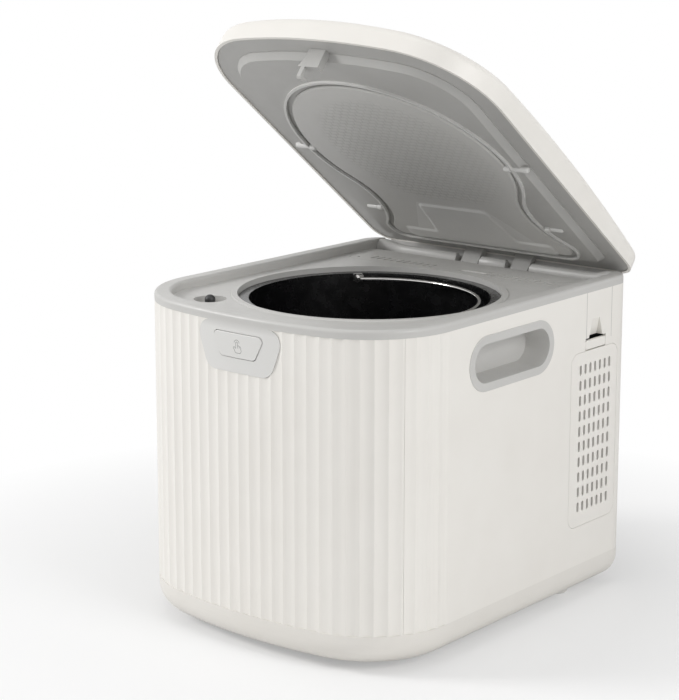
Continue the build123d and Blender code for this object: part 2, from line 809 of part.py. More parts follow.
with BuildPart() as temperature_sensor:
    with BuildSketch(Plane.XZ.offset(-(bucket_y + well_outer - bucket_taper + 3.0))):
        with Locations((0, well_bottom + 14)):
            RectangleRounded(12, 16, 2)
    extrude(amount=4.0)
    with BuildSketch(section):
        with BuildLine():
            Polyline(
                (0, well_bottom - 1),
                (well_outer - bucket_taper + fit_gap, well_bottom),
                (well_outer + fit_gap, gasket_z),
                (0, gasket_z),
                close=True,
            )
        make_face()
    revolve(axis=bucket_axis, mode=Mode.SUBTRACT)
save(temperature_sensor, "temperature_sensor")

# ---- deck ----
deck_lip_top = 262.0
deck_lip_fillet = 3.0
deck_floor_wall = 3.0
skirt_depth = 8.0
skirt_wall = 1.8
ledge_wall = 3.0
ring_width = 5.0  # raised ring round the bucket
ring_height = 0.8
collar_ledge = 2.0
collar_wall = 1.8
niche_radius = 13.0
niche_floor = 249.0
plunger_x = -79.0
plunger_y = -118.6
plunger_radius = 4.2
plunger_top = 258.4
plunger_travel = 3.0
guide_wall = 2.2
guide_bottom = 236.0
crescent_half = 112.0
crescent_back = ledge_y - 19.0
crescent_front = crescent_back - 27.0
crescent_clear = 13.0  # distance of the crescent from the bucket's hole
crescent_wall = 1.6
hinge_z = 247.6
hinge_inset = 3.9  # hinge axis, forward of the back face
hinge_x = 26.0
knuckle_radius = 4.4
hinge_pin_radius = 2.0
arm_width = 18.0
ear_width = 4.6
bracket_base = 2.6
hinge_play = 0.4
bracket_foot = 9.0
button_top_half = 26.4
button_foot_half = 16.7
button_top_z = 248.0
button_foot_z = 229.5
button_corner = 4.0
button_gap = 0.4
button_proud = 0.7
button_depth = 5.6
button_travel = 3.0
tongue_wall = 2.5
slide_half = 31.0  # half width of the latch slide behind the button
catch_slot_half = 10.5
catch_slot_front = -158.9
catch_slot_back = -143.2
catch_edge = -148.4  # front face of the catch bar, behind the lid's hook
duct_radius = 10.0
duct_wall = 1.5
blower_x = -60.0
blower_y = rear_y - 54.8

hinge_y = rear_y - hinge_inset
arm_back = hinge_inset - shell_wall - fit_gap
skirt_inset = shell_wall + fit_gap / 2
floor_under = deck_line - deck_floor_wall
hinge_notch = 2 * (arm_width / 2 + hinge_play + ear_width + hinge_play)
bracket_z = hinge_z - knuckle_radius - 1.2 - bracket_base
arms_at = [(-hinge_x, hinge_y), (hinge_x, hinge_y)]
guide_radius = plunger_radius + running_gap


def button_face(margin=0.0):
    with BuildSketch(Plane.XZ) as area:
        with BuildLine():
            Polyline(
                (-button_foot_half - margin, button_foot_z - margin),
                (button_foot_half + margin, button_foot_z - margin),
                (button_top_half + margin, button_top_z + margin),
                (-button_top_half - margin, button_top_z + margin),
                close=True,
            )
        make_face()
        fillet(area.vertices(), button_corner)
    return area.sketch


# A band of the front wall, between two insets, cut to a face seen from the front.
def front_band(outer, inner, bottom, top, face):
    with BuildPart() as band:
        with BuildSketch(Plane.XY.offset(bottom)):
            add(plan(outer))
            add(plan(inner), mode=Mode.SUBTRACT)
        extrude(amount=top - bottom)
        with BuildSketch(Plane.XZ.offset(-front_y - 30)):
            add(face)
        extrude(amount=60, mode=Mode.INTERSECT)
    return band.part


# The crescent behind the bucket, grown by a margin.
def crescent_plan(margin=0.0):
    with BuildSketch(Plane.XY) as area:
        with Locations((0, (crescent_front + crescent_back) / 2)):
            RectangleRounded(2 * (crescent_half + margin), crescent_back - crescent_front + 2 * margin, 9)
        with Locations((0, bucket_y)):
            Circle(deck_hole + crescent_clear - margin, mode=Mode.SUBTRACT)
    return area.sketch


# Everything behind a line across the casing, out to a half width.
def behind(line_y, reach_x):
    with BuildSketch(Plane.XY) as area:
        with Locations((0, line_y + 100)):
            Rectangle(2 * reach_x, 200)
    return area.sketch


with BuildPart() as deck:
    # lip, floor and the skirt that locates inside the casing
    with BuildSketch(Plane.XY.offset(deck_line)):
        add(plan())
        add(plan(deck_lip_width), mode=Mode.SUBTRACT)
    extrude(amount=deck_lip_top - deck_line)
    top_edges = deck.faces().sort_by(Axis.Z)[-1].edges()
    fillet(top_edges, deck_lip_fillet)
    with BuildSketch(Plane.XY.offset(floor_under)):
        add(plan(skirt_inset))
    extrude(amount=deck_floor_wall)
    with BuildSketch(Plane.XY.offset(deck_line - skirt_depth)):
        add(plan(skirt_inset))
        add(plan(skirt_inset + skirt_wall), mode=Mode.SUBTRACT)
    extrude(amount=skirt_depth)
    # hinge ledge at the back, between the ends of the lip
    with BuildSketch(Plane.XY.offset(ledge_top - ledge_wall)):
        add(plan(skirt_inset))
        add(behind(ledge_y - ledge_wall, ledge_half + ledge_wall), mode=Mode.INTERSECT)
    extrude(amount=floor_under - ledge_top + ledge_wall)
    with BuildSketch(Plane.XY.offset(ledge_top)):
        add(behind(ledge_y, ledge_half))
    extrude(amount=50, mode=Mode.SUBTRACT)
    with BuildSketch(Plane.XY.offset(ledge_top - ledge_wall)):
        add(plan())
        add(behind(ledge_y, ledge_half - fit_gap), mode=Mode.INTERSECT)
    extrude(amount=ledge_wall)
    with BuildSketch(Plane.XY.offset(ledge_top - ledge_apron)):
        add(plan())
        add(plan(shell_wall), mode=Mode.SUBTRACT)
        add(behind(ledge_y, ledge_half - fit_gap), mode=Mode.INTERSECT)
    extrude(amount=ledge_apron)
    with BuildSketch(Plane.XY.offset(bracket_z - 3)):
        with Locations((0, ledge_y - ledge_wall / 2)):
            Rectangle(2 * (hinge_x + hinge_notch), ledge_wall)
    extrude(amount=deck_line - bracket_z + 3)
    with BuildSketch(Plane.XY.offset(bracket_z - 3)):
        with Locations(*[(x, (ledge_y + rear_y - shell_wall) / 2) for x, _ in arms_at]):
            Rectangle(hinge_notch, rear_y - shell_wall - ledge_y)
    extrude(amount=3)
    with BuildSketch(Plane.XY.offset(bracket_z)):
        with Locations(*[(x, ledge_y + 60) for x, _ in arms_at]):
            Rectangle(hinge_notch, 120 - 6)
    extrude(amount=50, mode=Mode.SUBTRACT)
    # bucket opening: raised ring, hole and the collar that carries the well
    with BuildSketch(Plane.XY.offset(gasket_z - well_lip_thickness - collar_ledge)):
        with Locations((0, bucket_y)):
            Circle(deck_hole + collar_wall)
    extrude(amount=deck_line - gasket_z + well_lip_thickness + collar_ledge)
    with BuildSketch(Plane.XY.offset(deck_line)):
        with Locations((0, bucket_y)):
            Circle(deck_hole + ring_width)
    extrude(amount=ring_height, taper=45)
    with BuildSketch(Plane.XY.offset(gasket_z - well_lip_thickness)):
        with Locations((0, bucket_y)):
            Circle(deck_hole)
    extrude(amount=50, mode=Mode.SUBTRACT)
    with BuildSketch(Plane.XY.offset(deck_line - 50)):
        with Locations((0, bucket_y)):
            Circle(well_outer + fit_gap)
    extrude(amount=50, mode=Mode.SUBTRACT)
    # crescent seat and the air inlet under it
    with BuildSketch(Plane.XY.offset(deck_line - crescent_wall)):
        add(crescent_plan(fit_gap))
    extrude(amount=10, mode=Mode.SUBTRACT)
    with BuildSketch(Plane.XY.offset(floor_under)):
        with Locations((blower_x, blower_y)):
            Circle(duct_radius)
    extrude(amount=10, mode=Mode.SUBTRACT)
    # niche and guide of the interlock plunger
    with BuildSketch(Plane.XY.offset(niche_floor - 2)):
        with Locations((plunger_x, plunger_y)):
            Circle(niche_radius + 2)
    extrude(amount=deck_line - niche_floor + 2)
    with BuildSketch(Plane.XY.offset(guide_bottom)):
        with Locations((plunger_x, plunger_y)):
            Circle(guide_radius + guide_wall)
    extrude(amount=niche_floor - guide_bottom)
    with BuildSketch(Plane.XY.offset(niche_floor)):
        with Locations((plunger_x, plunger_y)):
            Circle(niche_radius)
    extrude(amount=50, mode=Mode.SUBTRACT)
    with BuildSketch(Plane.XY.offset(guide_bottom)):
        with Locations((plunger_x, plunger_y)):
            Circle(guide_radius)
    extrude(amount=50, mode=Mode.SUBTRACT)
    # front tongue, the button's window and the slot for the lid's hook
    with BuildSketch(Plane.XY.offset(deck_line - skirt_depth)):
        with Locations((0, front_y + tongue_wall)):
            Rectangle(2 * slide_half + 4, 40)
    extrude(amount=skirt_depth - deck_floor_wall, mode=Mode.SUBTRACT)
    add(front_band(0, tongue_wall, deck_line - tongue_drop, deck_line, tongue_face()))
    with BuildSketch(Plane.XZ.offset(-front_y - 30)):
        add(button_face(button_gap))
    extrude(amount=60, mode=Mode.SUBTRACT)
    with BuildSketch(Plane.XY.offset(floor_under)):
        with Locations((0, (catch_slot_front + catch_slot_back) / 2)):
            RectangleRounded(2 * catch_slot_half, catch_slot_back - catch_slot_front, 1.5)
    extrude(amount=20, mode=Mode.SUBTRACT)
save(deck, "deck")

slat_pitch = 7.0
slat_width = 2.4
slats_per_side = 10
thumb_mark = (12.4, crescent_front + 13.6)
pin_mark_x = 104.0
with BuildPart() as exhaust_cover:
    with BuildSketch(Plane.XY.offset(deck_line - crescent_wall)):
        add(crescent_plan())
        for side in (-1, 1):
            with Locations((side * (crescent_half / 2 + 4), blower_y + 1)):
                with GridLocations(slat_pitch, 1, slats_per_side, 1):
                    SlotOverall(12, slat_width, rotation=90, mode=Mode.SUBTRACT)
    extrude(amount=crescent_wall)
    with BuildSketch(Plane.XY.offset(deck_line)):
        with Locations(thumb_mark):
            SlotOverall(28, 7)
        for side in (-1, 1):
            with Locations((side * pin_mark_x, crescent_front + 7.6)):
                Circle(1.3)
    extrude(amount=-crescent_wall / 2, mode=Mode.SUBTRACT)
save(exhaust_cover, "exhaust_cover")

# ---- open button, its latch slide and springs ----
slide_wall = 2.0
slide_low = 226.0
slide_high = 251.4
catch_arm = 3.0
catch_low = 242.0
catch_high = 249.0
catch_bar = 3.2
hook_room = 6.0  # free depth below the catch for the lid's hook
spring_x = 22.0
spring_radius = 2.6
spring_wall = 0.7
spring_length = 10.0

slide_front = front_y + tongue_wall + 1.6
slide_back = slide_front + slide_wall
with BuildPart() as open_button:
    add(front_band(-button_proud, button_depth, button_foot_z, button_top_z, button_face()))
    with BuildSketch(Plane.XY.offset(button_foot_z)):
        with Locations((0, slide_front + 25)):
            Rectangle(2 * slide_half, 50)
    extrude(amount=50, mode=Mode.SUBTRACT)
    front_rim = open_button.faces().sort_by(Axis.Y)[0].edges()
    fillet(front_rim, button_proud * 0.8)
save(open_button, "open_button")

with BuildPart() as latch_slide:
    with BuildSketch(Plane.XY.offset(slide_low)):
        with Locations((0, slide_front + slide_wall / 2)):
            Rectangle(2 * slide_half, slide_wall)
    extrude(amount=slide_high - slide_low)
    with BuildSketch(Plane.XY.offset(catch_low)):
        with Locations((0, (slide_back + catch_edge + catch_bar) / 2)):
            Rectangle(2 * (catch_slot_half + catch_arm), catch_edge + catch_bar - slide_back)
            Rectangle(2 * catch_slot_half, catch_edge + catch_bar - slide_back, mode=Mode.SUBTRACT)
        with Locations((0, catch_edge + catch_bar / 2)):
            Rectangle(2 * catch_slot_half, catch_bar)
    extrude(amount=catch_high - catch_low)
save(latch_slide, "latch_slide")

with BuildPart() as button_springs:
    for side in (-1, 1):
        spring_foot = (side * spring_x, slide_back, slide_low + 6)
        with BuildSketch(Plane(origin=spring_foot, x_dir=(1, 0, 0), z_dir=(0, 1, 0))):
            Circle(spring_radius)
            Circle(spring_radius - spring_wall, mode=Mode.SUBTRACT)
        extrude(amount=spring_length)
save(button_springs, "button_springs")

# keeper plate that hangs from the deck and guides the slide and its springs
keeper_wall = 2.0
with BuildPart() as latch_keeper:
    with BuildSketch(Plane.XY.offset(slide_low - 3)):
        with Locations((0, slide_back + spring_length + keeper_wall / 2)):
            Rectangle(2 * slide_half, keeper_wall)
    extrude(amount=floor_under - slide_low + 3)
    with BuildSketch(Plane.XY.offset(catch_low - hook_room)):
        with Locations((0, slide_back + spring_length)):
            Rectangle(2 * (catch_slot_half + catch_arm + fit_gap), 4 * keeper_wall)
    extrude(amount=40, mode=Mode.SUBTRACT)
save(latch_keeper, "latch_keeper")

# ---- interlock plunger, its spring and switch ----
stem_radius = 1.8
switch_height = 9.0
plunger_body_z = niche_floor - 5.0
with BuildPart() as interlock_plunger:
    with BuildSketch(Plane.XY.offset(plunger_body_z)):
        with Locations((plunger_x, plunger_y)):
            Circle(plunger_radius)
    extrude(amount=plunger_top - plunger_body_z)
    fillet(interlock_plunger.edges().group_by(Axis.Z)[-1], plunger_radius * 0.9)
    with BuildSketch(Plane.XY.offset(guide_bottom + plunger_travel + fit_gap)):
        with Locations((plunger_x, plunger_y)):
            Circle(stem_radius)
    extrude(amount=plunger_body_z - guide_bottom - plunger_travel - fit_gap)
save(interlock_plunger, "interlock_plunger")

with BuildPart() as plunger_spring:
    with BuildSketch(Plane.XY.offset(guide_bottom)):
        with Locations((plunger_x, plunger_y)):
            Circle(plunger_radius - 0.3)
            Circle(plunger_radius - 0.3 - spring_wall, mode=Mode.SUBTRACT)
    extrude(amount=plunger_body_z - guide_bottom)
save(plunger_spring, "plunger_spring")

with BuildPart() as interlock_switch:
    with BuildSketch(Plane.XY.offset(guide_bottom - switch_height)):
        with Locations((plunger_x, plunger_y)):
            Rectangle(20, 13)
    extrude(amount=switch_height)
save(interlock_switch, "interlock_switch")

# ---- lid hinge ----
hinge_side = Plane(origin=(0, hinge_y, hinge_z), x_dir=(0, 1, 0), z_dir=(1, 0, 0))
ear_inner = arm_width / 2 + hinge_play
with BuildPart() as hinge_brackets:
    for centre in (-hinge_x, hinge_x):
        for low in (centre - ear_inner - ear_width, centre + ear_inner):
            with BuildSketch(hinge_side.offset(low)):
                Circle(knuckle_radius)
                with Locations(((arm_back - knuckle_radius) / 2, (bracket_z - hinge_z) / 2)):
                    Rectangle(arm_back + knuckle_radius, hinge_z - bracket_z)
            extrude(amount=ear_width)
        with BuildSketch(Plane.XY.offset(bracket_z)):
            with Locations((centre, hinge_y + (arm_back - bracket_foot) / 2)):
                Rectangle(2 * (ear_inner + ear_width), bracket_foot + arm_back)
        extrude(amount=bracket_base)
    with BuildSketch(hinge_side.offset(-casing_width)):
        Circle(hinge_pin_radius + running_gap)
    extrude(amount=2 * casing_width, mode=Mode.SUBTRACT)
save(hinge_brackets, "hinge_brackets")

with BuildPart() as hinge_pins:
    for centre in (-hinge_x, hinge_x):
        with BuildSketch(hinge_side.offset(centre - ear_inner - ear_width)):
            Circle(hinge_pin_radius)
        extrude(amount=2 * (ear_inner + ear_width))
save(hinge_pins, "hinge_pins")

# ---- lid, drawn closed in the hinge's own plane and propped open by turning that plane ----
lid_open_angle = 38.0
lid_rim_z = 263.0
lid_edge_z = 284.0
lid_crown_z = 291.0
lid_dome_radius = 1600.0
lid_edge_fillet = 7.0
lid_wall = 2.5
lid_drop_gap = 4.8  # clearance of the lid's back edge over the hinge axis
liner_gap = 0.2
liner_wall = 2.5
liner_step_inset = 20.0
liner_recess = 1.0
plateau_z = 258.8
cover_face_z = 257.3
gasket_z_low = 256.9
gasket_width = 2.2
groove_width = 4.5  # round channel between the gasket and the inner cover
groove_depth = 1.4
cover_radius = 104.0  # the cover's round front, about the bucket's axis
cover_arc_end = 12.0
cover_turn = (90.0, 33.4)  # where its outline turns towards the waist
cover_back_half = 82.0
cover_back_y = rear_y - 24.3
cover_flare = (95.0, cover_back_y - 26.0)

lid_plane = Plane(
    origin=(0, hinge_y, hinge_z),
    x_dir=(1, 0, 0),
    z_dir=(0, sin(radians(lid_open_angle)), cos(radians(lid_open_angle))),
)


# The lid's plane raised to a height measured with the lid closed.
def lid_level(height):
    return lid_plane.offset(height - hinge_z)


def lid_plan(inset=0.0):
    return plan(inset, hinge_y)


dome_middle = (front_y + rear_y) / 2 - hinge_y
dome_sunk = lid_level(lid_crown_z - lid_dome_radius)
dome_centre = Plane(
    origin=dome_sunk.from_local_coords((0, dome_middle, 0)), x_dir=lid_plane.x_dir, z_dir=lid_plane.z_dir
).location


# A block of the lid under its shallow dome, sunk below the outer skin.
def lid_block(face, bottom, sink, edge):
    with BuildPart() as block:
        with BuildSketch(lid_level(bottom)):
            add(face)
        extrude(amount=lid_crown_z - sink - bottom)
        with Locations(dome_centre):
            Sphere(lid_dome_radius - sink, mode=Mode.INTERSECT)
        if edge:
            fillet(block.faces().sort_by(Axis(lid_plane.origin, lid_plane.z_dir))[-1].edges(), edge)
    return block.part


# The inner cover's outline: round in front, pinched at a waist and flared towards the hinge.
def cover_plan(margin=0.0):
    arc_end = radians(cover_arc_end)
    start = (cover_radius * cos(arc_end), bucket_y + cover_radius * sin(arc_end))
    with BuildSketch(Plane.XY) as area:
        with BuildLine():
            CenterArc((0, bucket_y), cover_radius, -90, 90 + cover_arc_end)
            shoulder = TangentArc(start, cover_turn, tangent=(-sin(arc_end), cos(arc_end)))
            waist = TangentArc(cover_turn, cover_flare, tangent=shoulder % 1)
            TangentArc(cover_flare, (cover_back_half, cover_back_y), tangent=waist % 1)
            Line((cover_back_half, cover_back_y), (0, cover_back_y))
            mirror(about=Plane.YZ)
        make_face()
        if margin:
            offset(amount=margin, mode=Mode.REPLACE)
    return area.sketch.moved(Location((0, -hinge_y)))


liner_z = lid_rim_z + liner_recess
liner_top = liner_z + liner_wall
panel_length = 116.0
panel_width = 24.0
panel_y = -116.6
panel_sink = 1.6


def touch_plan(margin=0.0):
    with BuildSketch(Plane.XY) as area:
        with Locations((0, panel_y - hinge_y)):
            RectangleRounded(panel_length + 2 * margin, panel_width + 2 * margin, 8)
    return area.sketch


with BuildPart() as lid_shell:
    add(lid_block(lid_plan(), lid_rim_z, 0, lid_edge_fillet))
    add(lid_block(lid_plan(lid_wall), lid_rim_z, lid_wall, lid_edge_fillet - lid_wall), mode=Mode.SUBTRACT)
    with BuildSketch(lid_level(hinge_z + lid_drop_gap)):
        add(lid_plan())
        add(lid_plan(lid_wall), mode=Mode.SUBTRACT)
        add(behind(ledge_y - hinge_y, ledge_half - 2 * fit_gap), mode=Mode.INTERSECT)
    extrude(amount=lid_rim_z - hinge_z - lid_drop_gap)
    add(
        lid_block(touch_plan(fit_gap / 2), lid_edge_z, 0, 0)
        - lid_block(touch_plan(1), lid_edge_z, panel_sink, 0),
        mode=Mode.SUBTRACT,
    )
save(lid_shell, "lid_shell")

with BuildPart() as touch_panel:
    add(lid_block(touch_plan(), lid_edge_z, 0, 0))
    add(lid_block(touch_plan(1), lid_edge_z, panel_sink - 0.1, 0), mode=Mode.SUBTRACT)
save(touch_panel, "touch_panel")

board_wall = 1.6
board_z = 276.0
post_radius = 3.0
with BuildPart() as lid_board:
    with BuildSketch(lid_level(board_z)):
        with Locations((0, panel_y - hinge_y)):
            Rectangle(panel_length - 12, panel_width)
    extrude(amount=board_wall)
    with BuildSketch(lid_level(board_z)):
        with Locations((0, panel_y - hinge_y)):
            with GridLocations(panel_length - 26, 1, 2, 1):
                Circle(post_radius)
    extrude(amount=12)
    with Locations(dome_centre):
        Sphere(lid_dome_radius - lid_wall - 0.1, mode=Mode.INTERSECT)
save(lid_board, "lid_board")

liner_bevel = 4.5
with BuildPart() as lid_liner:
    with BuildSketch(lid_level(liner_z)):
        add(lid_plan(lid_wall + liner_gap))
    extrude(amount=liner_wall)
    with BuildSketch(lid_level(plateau_z)):
        add(lid_plan(liner_step_inset))
    extrude(amount=liner_z - plateau_z)
    chamfer(lid_liner.faces().sort_by(Axis(lid_plane.origin, lid_plane.z_dir))[0].edges(), liner_bevel)
    with BuildSketch(lid_level(plateau_z + liner_wall)):
        add(lid_plan(liner_step_inset + liner_wall))
    extrude(amount=liner_top - plateau_z - liner_wall, mode=Mode.SUBTRACT)
    with BuildSketch(lid_level(plateau_z)):
        add(cover_plan(-gasket_width))
        add(cover_plan(-gasket_width - groove_width), mode=Mode.SUBTRACT)
    extrude(amount=groove_depth, mode=Mode.SUBTRACT)
save(lid_liner, "lid_liner")

with BuildPart() as lid_gasket:
    with BuildSketch(lid_level(gasket_z_low)):
        add(cover_plan())
        add(cover_plan(-gasket_width), mode=Mode.SUBTRACT)
    extrude(amount=plateau_z - gasket_z_low)
save(lid_gasket, "lid_gasket")

pad_front = cover_back_y - 70.0
pad_half = 34.0
pad_sink = 0.6
cover_bevel = 1.2
with BuildPart() as inner_cover:
    with BuildSketch(lid_level(cover_face_z)):
        add(cover_plan(-gasket_width - groove_width))
    extrude(amount=plateau_z - cover_face_z)
    chamfer(inner_cover.faces().sort_by(Axis(lid_plane.origin, lid_plane.z_dir))[0].edges(), cover_bevel)
    with BuildSketch(lid_level(cover_face_z)):
        with BuildLine():
            Polyline(
                (-pad_half, pad_front - hinge_y),
                (pad_half, pad_front - hinge_y),
                (pad_half * 1.8, pad_front + 50 - hinge_y),
                (pad_half * 1.2, cover_back_y - 8 - hinge_y),
                (-pad_half * 1.2, cover_back_y - 8 - hinge_y),
                (-pad_half * 1.8, pad_front + 50 - hinge_y),
                close=True,
            )
        make_face()
    extrude(amount=pad_sink, mode=Mode.SUBTRACT)
save(inner_cover, "inner_cover")

clip_length = 20.0
clip_width = 7.0
clip_wall = 0.6
clip_y = -12.6
clip_x = 107.5
back_clip_x = 91.0
back_clip_y = cover_back_y - 50.0
clips_at = [(clip_x, clip_y), (-clip_x, clip_y), (back_clip_x, back_clip_y), (-back_clip_x, back_clip_y)]
with BuildPart() as cover_clips:
    with BuildSketch(lid_level(gasket_z_low - clip_wall)):
        with Locations(*[(x, y - hinge_y) for x, y in clips_at]):
            RectangleRounded(clip_length, clip_width, 1.5)
    extrude(amount=clip_wall)
    with BuildSketch(lid_level(gasket_z_low)):
        with Locations(*[(x, y - hinge_y) for x, y in clips_at]):
            RectangleRounded(clip_length, clip_width, 1.5)
        add(cover_plan(fit_gap), mode=Mode.SUBTRACT)
    extrude(amount=plateau_z - gasket_z_low)
save(cover_clips, "cover_clips")

hook_left = -7.0
hook_right = 9.0
hook_front = -158.2
hook_block = 7.0  # thickness of the hook's root block
hook_block_low = 248.0
hook_wing = 3.3  # sideways reach of the wedge on the block's left
hook_wing_high = 256.0
hook_wing_wall = 2.4
hook_leg = 3.6  # width of the leg that carries the barb
hook_leg_wall = 3.4
hook_bottom = 238.0
barb_clear = 0.4
barb_rise = 1.2
hook_lead = 1.5
hook_side = Plane(origin=lid_plane.origin, x_dir=lid_plane.y_dir, z_dir=lid_plane.x_dir)
hook_face = Plane(origin=lid_plane.origin, x_dir=lid_plane.x_dir, z_dir=-lid_plane.y_dir)
with BuildPart() as latch_hook:
    with BuildSketch(lid_level(hook_block_low)):
        with Locations(((hook_left + hook_right) / 2, hook_front + hook_block / 2 - hinge_y)):
            Rectangle(hook_right - hook_left, hook_block)
    extrude(amount=liner_z - hook_block_low)
    with BuildSketch(hook_face.offset(hinge_y - hook_front - hook_wing_wall)):
        with BuildLine():
            Polyline(
                (hook_left, hook_wing_high - hinge_z),
                (hook_left - hook_wing, hook_block_low - hinge_z),
                (hook_left, hook_block_low - hinge_z),
                close=True,
            )
        make_face()
    extrude(amount=hook_wing_wall)
    with BuildSketch(hook_side.offset(hook_left)):
        with BuildLine():
            Polyline(
                (hook_front - hinge_y, hook_block_low - hinge_z),
                (hook_front - hinge_y, hook_bottom + hook_lead - hinge_z),
                (hook_front + hook_lead - hinge_y, hook_bottom - hinge_z),
                (hook_front + hook_leg_wall - hinge_y, hook_bottom - hinge_z),
                (catch_edge - barb_clear - hinge_y, catch_low - barb_clear - barb_rise - hinge_z),
                (catch_edge - barb_clear - hinge_y, catch_low - barb_clear - hinge_z),
                (hook_front + hook_leg_wall - hinge_y, catch_low - barb_clear - hinge_z),
                (hook_front + hook_leg_wall - hinge_y, hook_block_low - hinge_z),
                close=True,
            )
        make_face()
    extrude(amount=hook_leg)
    add(lid_liner.part, mode=Mode.SUBTRACT)
save(latch_hook, "latch_hook")

with BuildPart() as hinge_arms:
    for centre in (-hinge_x, hinge_x):
        with BuildSketch(hook_side.offset(centre - arm_width / 2)):
            Circle(knuckle_radius)
            with Locations(((arm_back - knuckle_radius) / 2, (liner_z - hinge_z) / 2)):
                Rectangle(arm_back + knuckle_radius, liner_z - hinge_z)
            Circle(hinge_pin_radius + running_gap, mode=Mode.SUBTRACT)
        extrude(amount=arm_width)
save(hinge_arms, "hinge_arms")

# ---- filter drawer: bay, tray, carbon blocks, slotted panel and latch ----
tray_margin = 5.0
tray_wall = 1.6
tray_gap = 0.5
tray_corner = 5.0
slot_rows = 10
slot_columns = 7
slot_pitch_y = 6.94
slot_pitch_z = 12.6
slot_width = 3.0
slot_length = 8.5
slots_z = 136.6
filter_blocks = 2
filter_gap = 2.0
latch_gap = 0.8
latch_wall = 2.4
latch_axis_inset = 5.2
latch_swing = 8.0
latch_pin_radius = 1.0
latch_ear_wall = 2.0
bay_depth = 76.0

drawer_mid_z = (drawer_bottom + drawer_top) / 2
drawer_height = drawer_top - drawer_bottom
tray_length = drawer_length - 2 * tray_margin
tray_height = drawer_height - 2 * tray_margin
inner_face = side_plane.offset(-shell_wall)
latch_top = drawer_top + latch_height
latch_axis = (half_width - latch_axis_inset, latch_y, drawer_top + latch_gap + 1.6)


def drawer_box(margin, corner):
    with BuildSketch(Plane.XY) as area:
        with Locations((drawer_y, drawer_mid_z)):
            RectangleRounded(tray_length + 2 * margin, tray_height + 2 * margin, corner + margin)
    return area.sketch


duct_width = 18.0
duct_height = 24.0
blower_radius = 30.0
blower_wall = 2.0
blower_z = 130.0
blower_height = 26.0
blower_motor_radius = 14.0
blower_motor_height = 20.0
fan_radius = 25.0
fan_shaft_radius = 2.0
fan_blades = 12
fan_gap = 2.0
lug_width = 30.0
lug_wall = 3.0

duct_far_y = blower_y + blower_radius - 2.0
duct_mid_y = duct_far_y - duct_width / 2
bay_back_x = half_width - shell_wall - bay_depth
blower_top = blower_z + blower_height

bay_margin = tray_gap + bay_wall
bay_top = drawer_top - tray_margin + bay_margin
latch_room = 14.0  # depth of the box behind the tab
latch_room_top = scoop_z + latch_opening_gap
latch_room_width = latch_width + 8.0
low_edge = (Align.CENTER, Align.MIN)
with BuildPart() as drawer_bay:
    with BuildSketch(inner_face):
        add(drawer_box(bay_margin, tray_corner))
    extrude(amount=-bay_depth)
    with BuildSketch(inner_face):
        add(drawer_box(tray_gap, tray_corner))
    extrude(amount=-bay_depth + bay_wall, mode=Mode.SUBTRACT)
    with BuildSketch(Plane.YZ.offset(bay_back_x - 1)):
        with Locations((duct_mid_y, blower_z + blower_height / 2)):
            Rectangle(duct_width - 2 * duct_wall, duct_height - 2 * duct_wall)
    extrude(amount=bay_wall + 2, mode=Mode.SUBTRACT)
    with BuildSketch(inner_face):
        with Locations((latch_y, bay_top - bay_wall)):
            Rectangle(latch_room_width, latch_room_top - bay_top + 2 * bay_wall, align=low_edge)
    extrude(amount=-latch_room - bay_wall)
    with BuildSketch(inner_face):
        with Locations((latch_y, bay_top)):
            Rectangle(latch_room_width - 2 * bay_wall, latch_room_top - bay_top, align=low_edge)
    extrude(amount=-latch_room, mode=Mode.SUBTRACT)
    room = scoop_wedge(scoop_wall + fit_gap, scoop_sink + scoop_wall + fit_gap, shell_wall + fit_gap)
    add(room, mode=Mode.SUBTRACT)
save(drawer_bay, "drawer_bay")

latch_side = Plane(origin=latch_axis, x_dir=(1, 0, 0), z_dir=(0, -1, 0))
ear_low = bay_top + 0.4
ear_front = drawer_panel_wall + 0.5  # the ears stand clear of the turning tab
with BuildPart() as vent_panel:
    with BuildSketch(side_plane.offset(-drawer_panel_wall)):
        with Locations((drawer_y, drawer_mid_z)):
            corner = drawer_corner - panel_gap
            RectangleRounded(drawer_length - 2 * panel_gap, drawer_height - 2 * panel_gap, corner)
        with Locations((drawer_y + 1.0, slots_z)):
            with GridLocations(slot_pitch_y, slot_pitch_z, slot_columns, slot_rows):
                SlotOverall(slot_length, slot_width, rotation=90, mode=Mode.SUBTRACT)
    extrude(amount=drawer_panel_wall)
    with BuildSketch(side_plane.offset(-drawer_panel_wall)):
        with Locations((latch_y, ear_low)):
            Rectangle(latch_width - 2, drawer_top - panel_gap - ear_low, align=low_edge)
    extrude(amount=-2.0)
    for side in (-1, 1):
        with BuildSketch(side_plane.offset(-ear_front)):
            with Locations((latch_y + side * (latch_width / 2 - 1 - latch_ear_wall / 2), ear_low)):
                Rectangle(latch_ear_wall, latch_axis[2] + 2 - ear_low, align=low_edge)
        extrude(amount=-latch_axis_inset - 2 + ear_front)
    with BuildSketch(latch_side.offset(1 - latch_width / 2)):
        Circle(latch_pin_radius)
    extrude(amount=latch_width - 2)
save(vent_panel, "vent_panel")

latch_inner = latch_width / 2 - 1 - latch_ear_wall - 0.4
with BuildPart() as drawer_latch:
    with BuildSketch(side_plane.offset(-latch_wall)):
        with Locations((latch_y, (drawer_top + latch_gap + latch_top - 1.4) / 2)):
            RectangleRounded(latch_width - 0.8, latch_top - 1.4 - drawer_top - latch_gap, 1.5)
    extrude(amount=latch_wall)
    with BuildSketch(latch_side.offset(-latch_inner)):
        Circle(latch_pin_radius + 0.9)
        with Locations((latch_axis_inset / 2 - latch_wall / 2, 0.3)):
            Rectangle(latch_axis_inset - latch_wall, 2.0)
        Circle(latch_pin_radius + running_gap, mode=Mode.SUBTRACT)
    extrude(amount=2 * latch_inner)
save(drawer_latch, "drawer_latch")

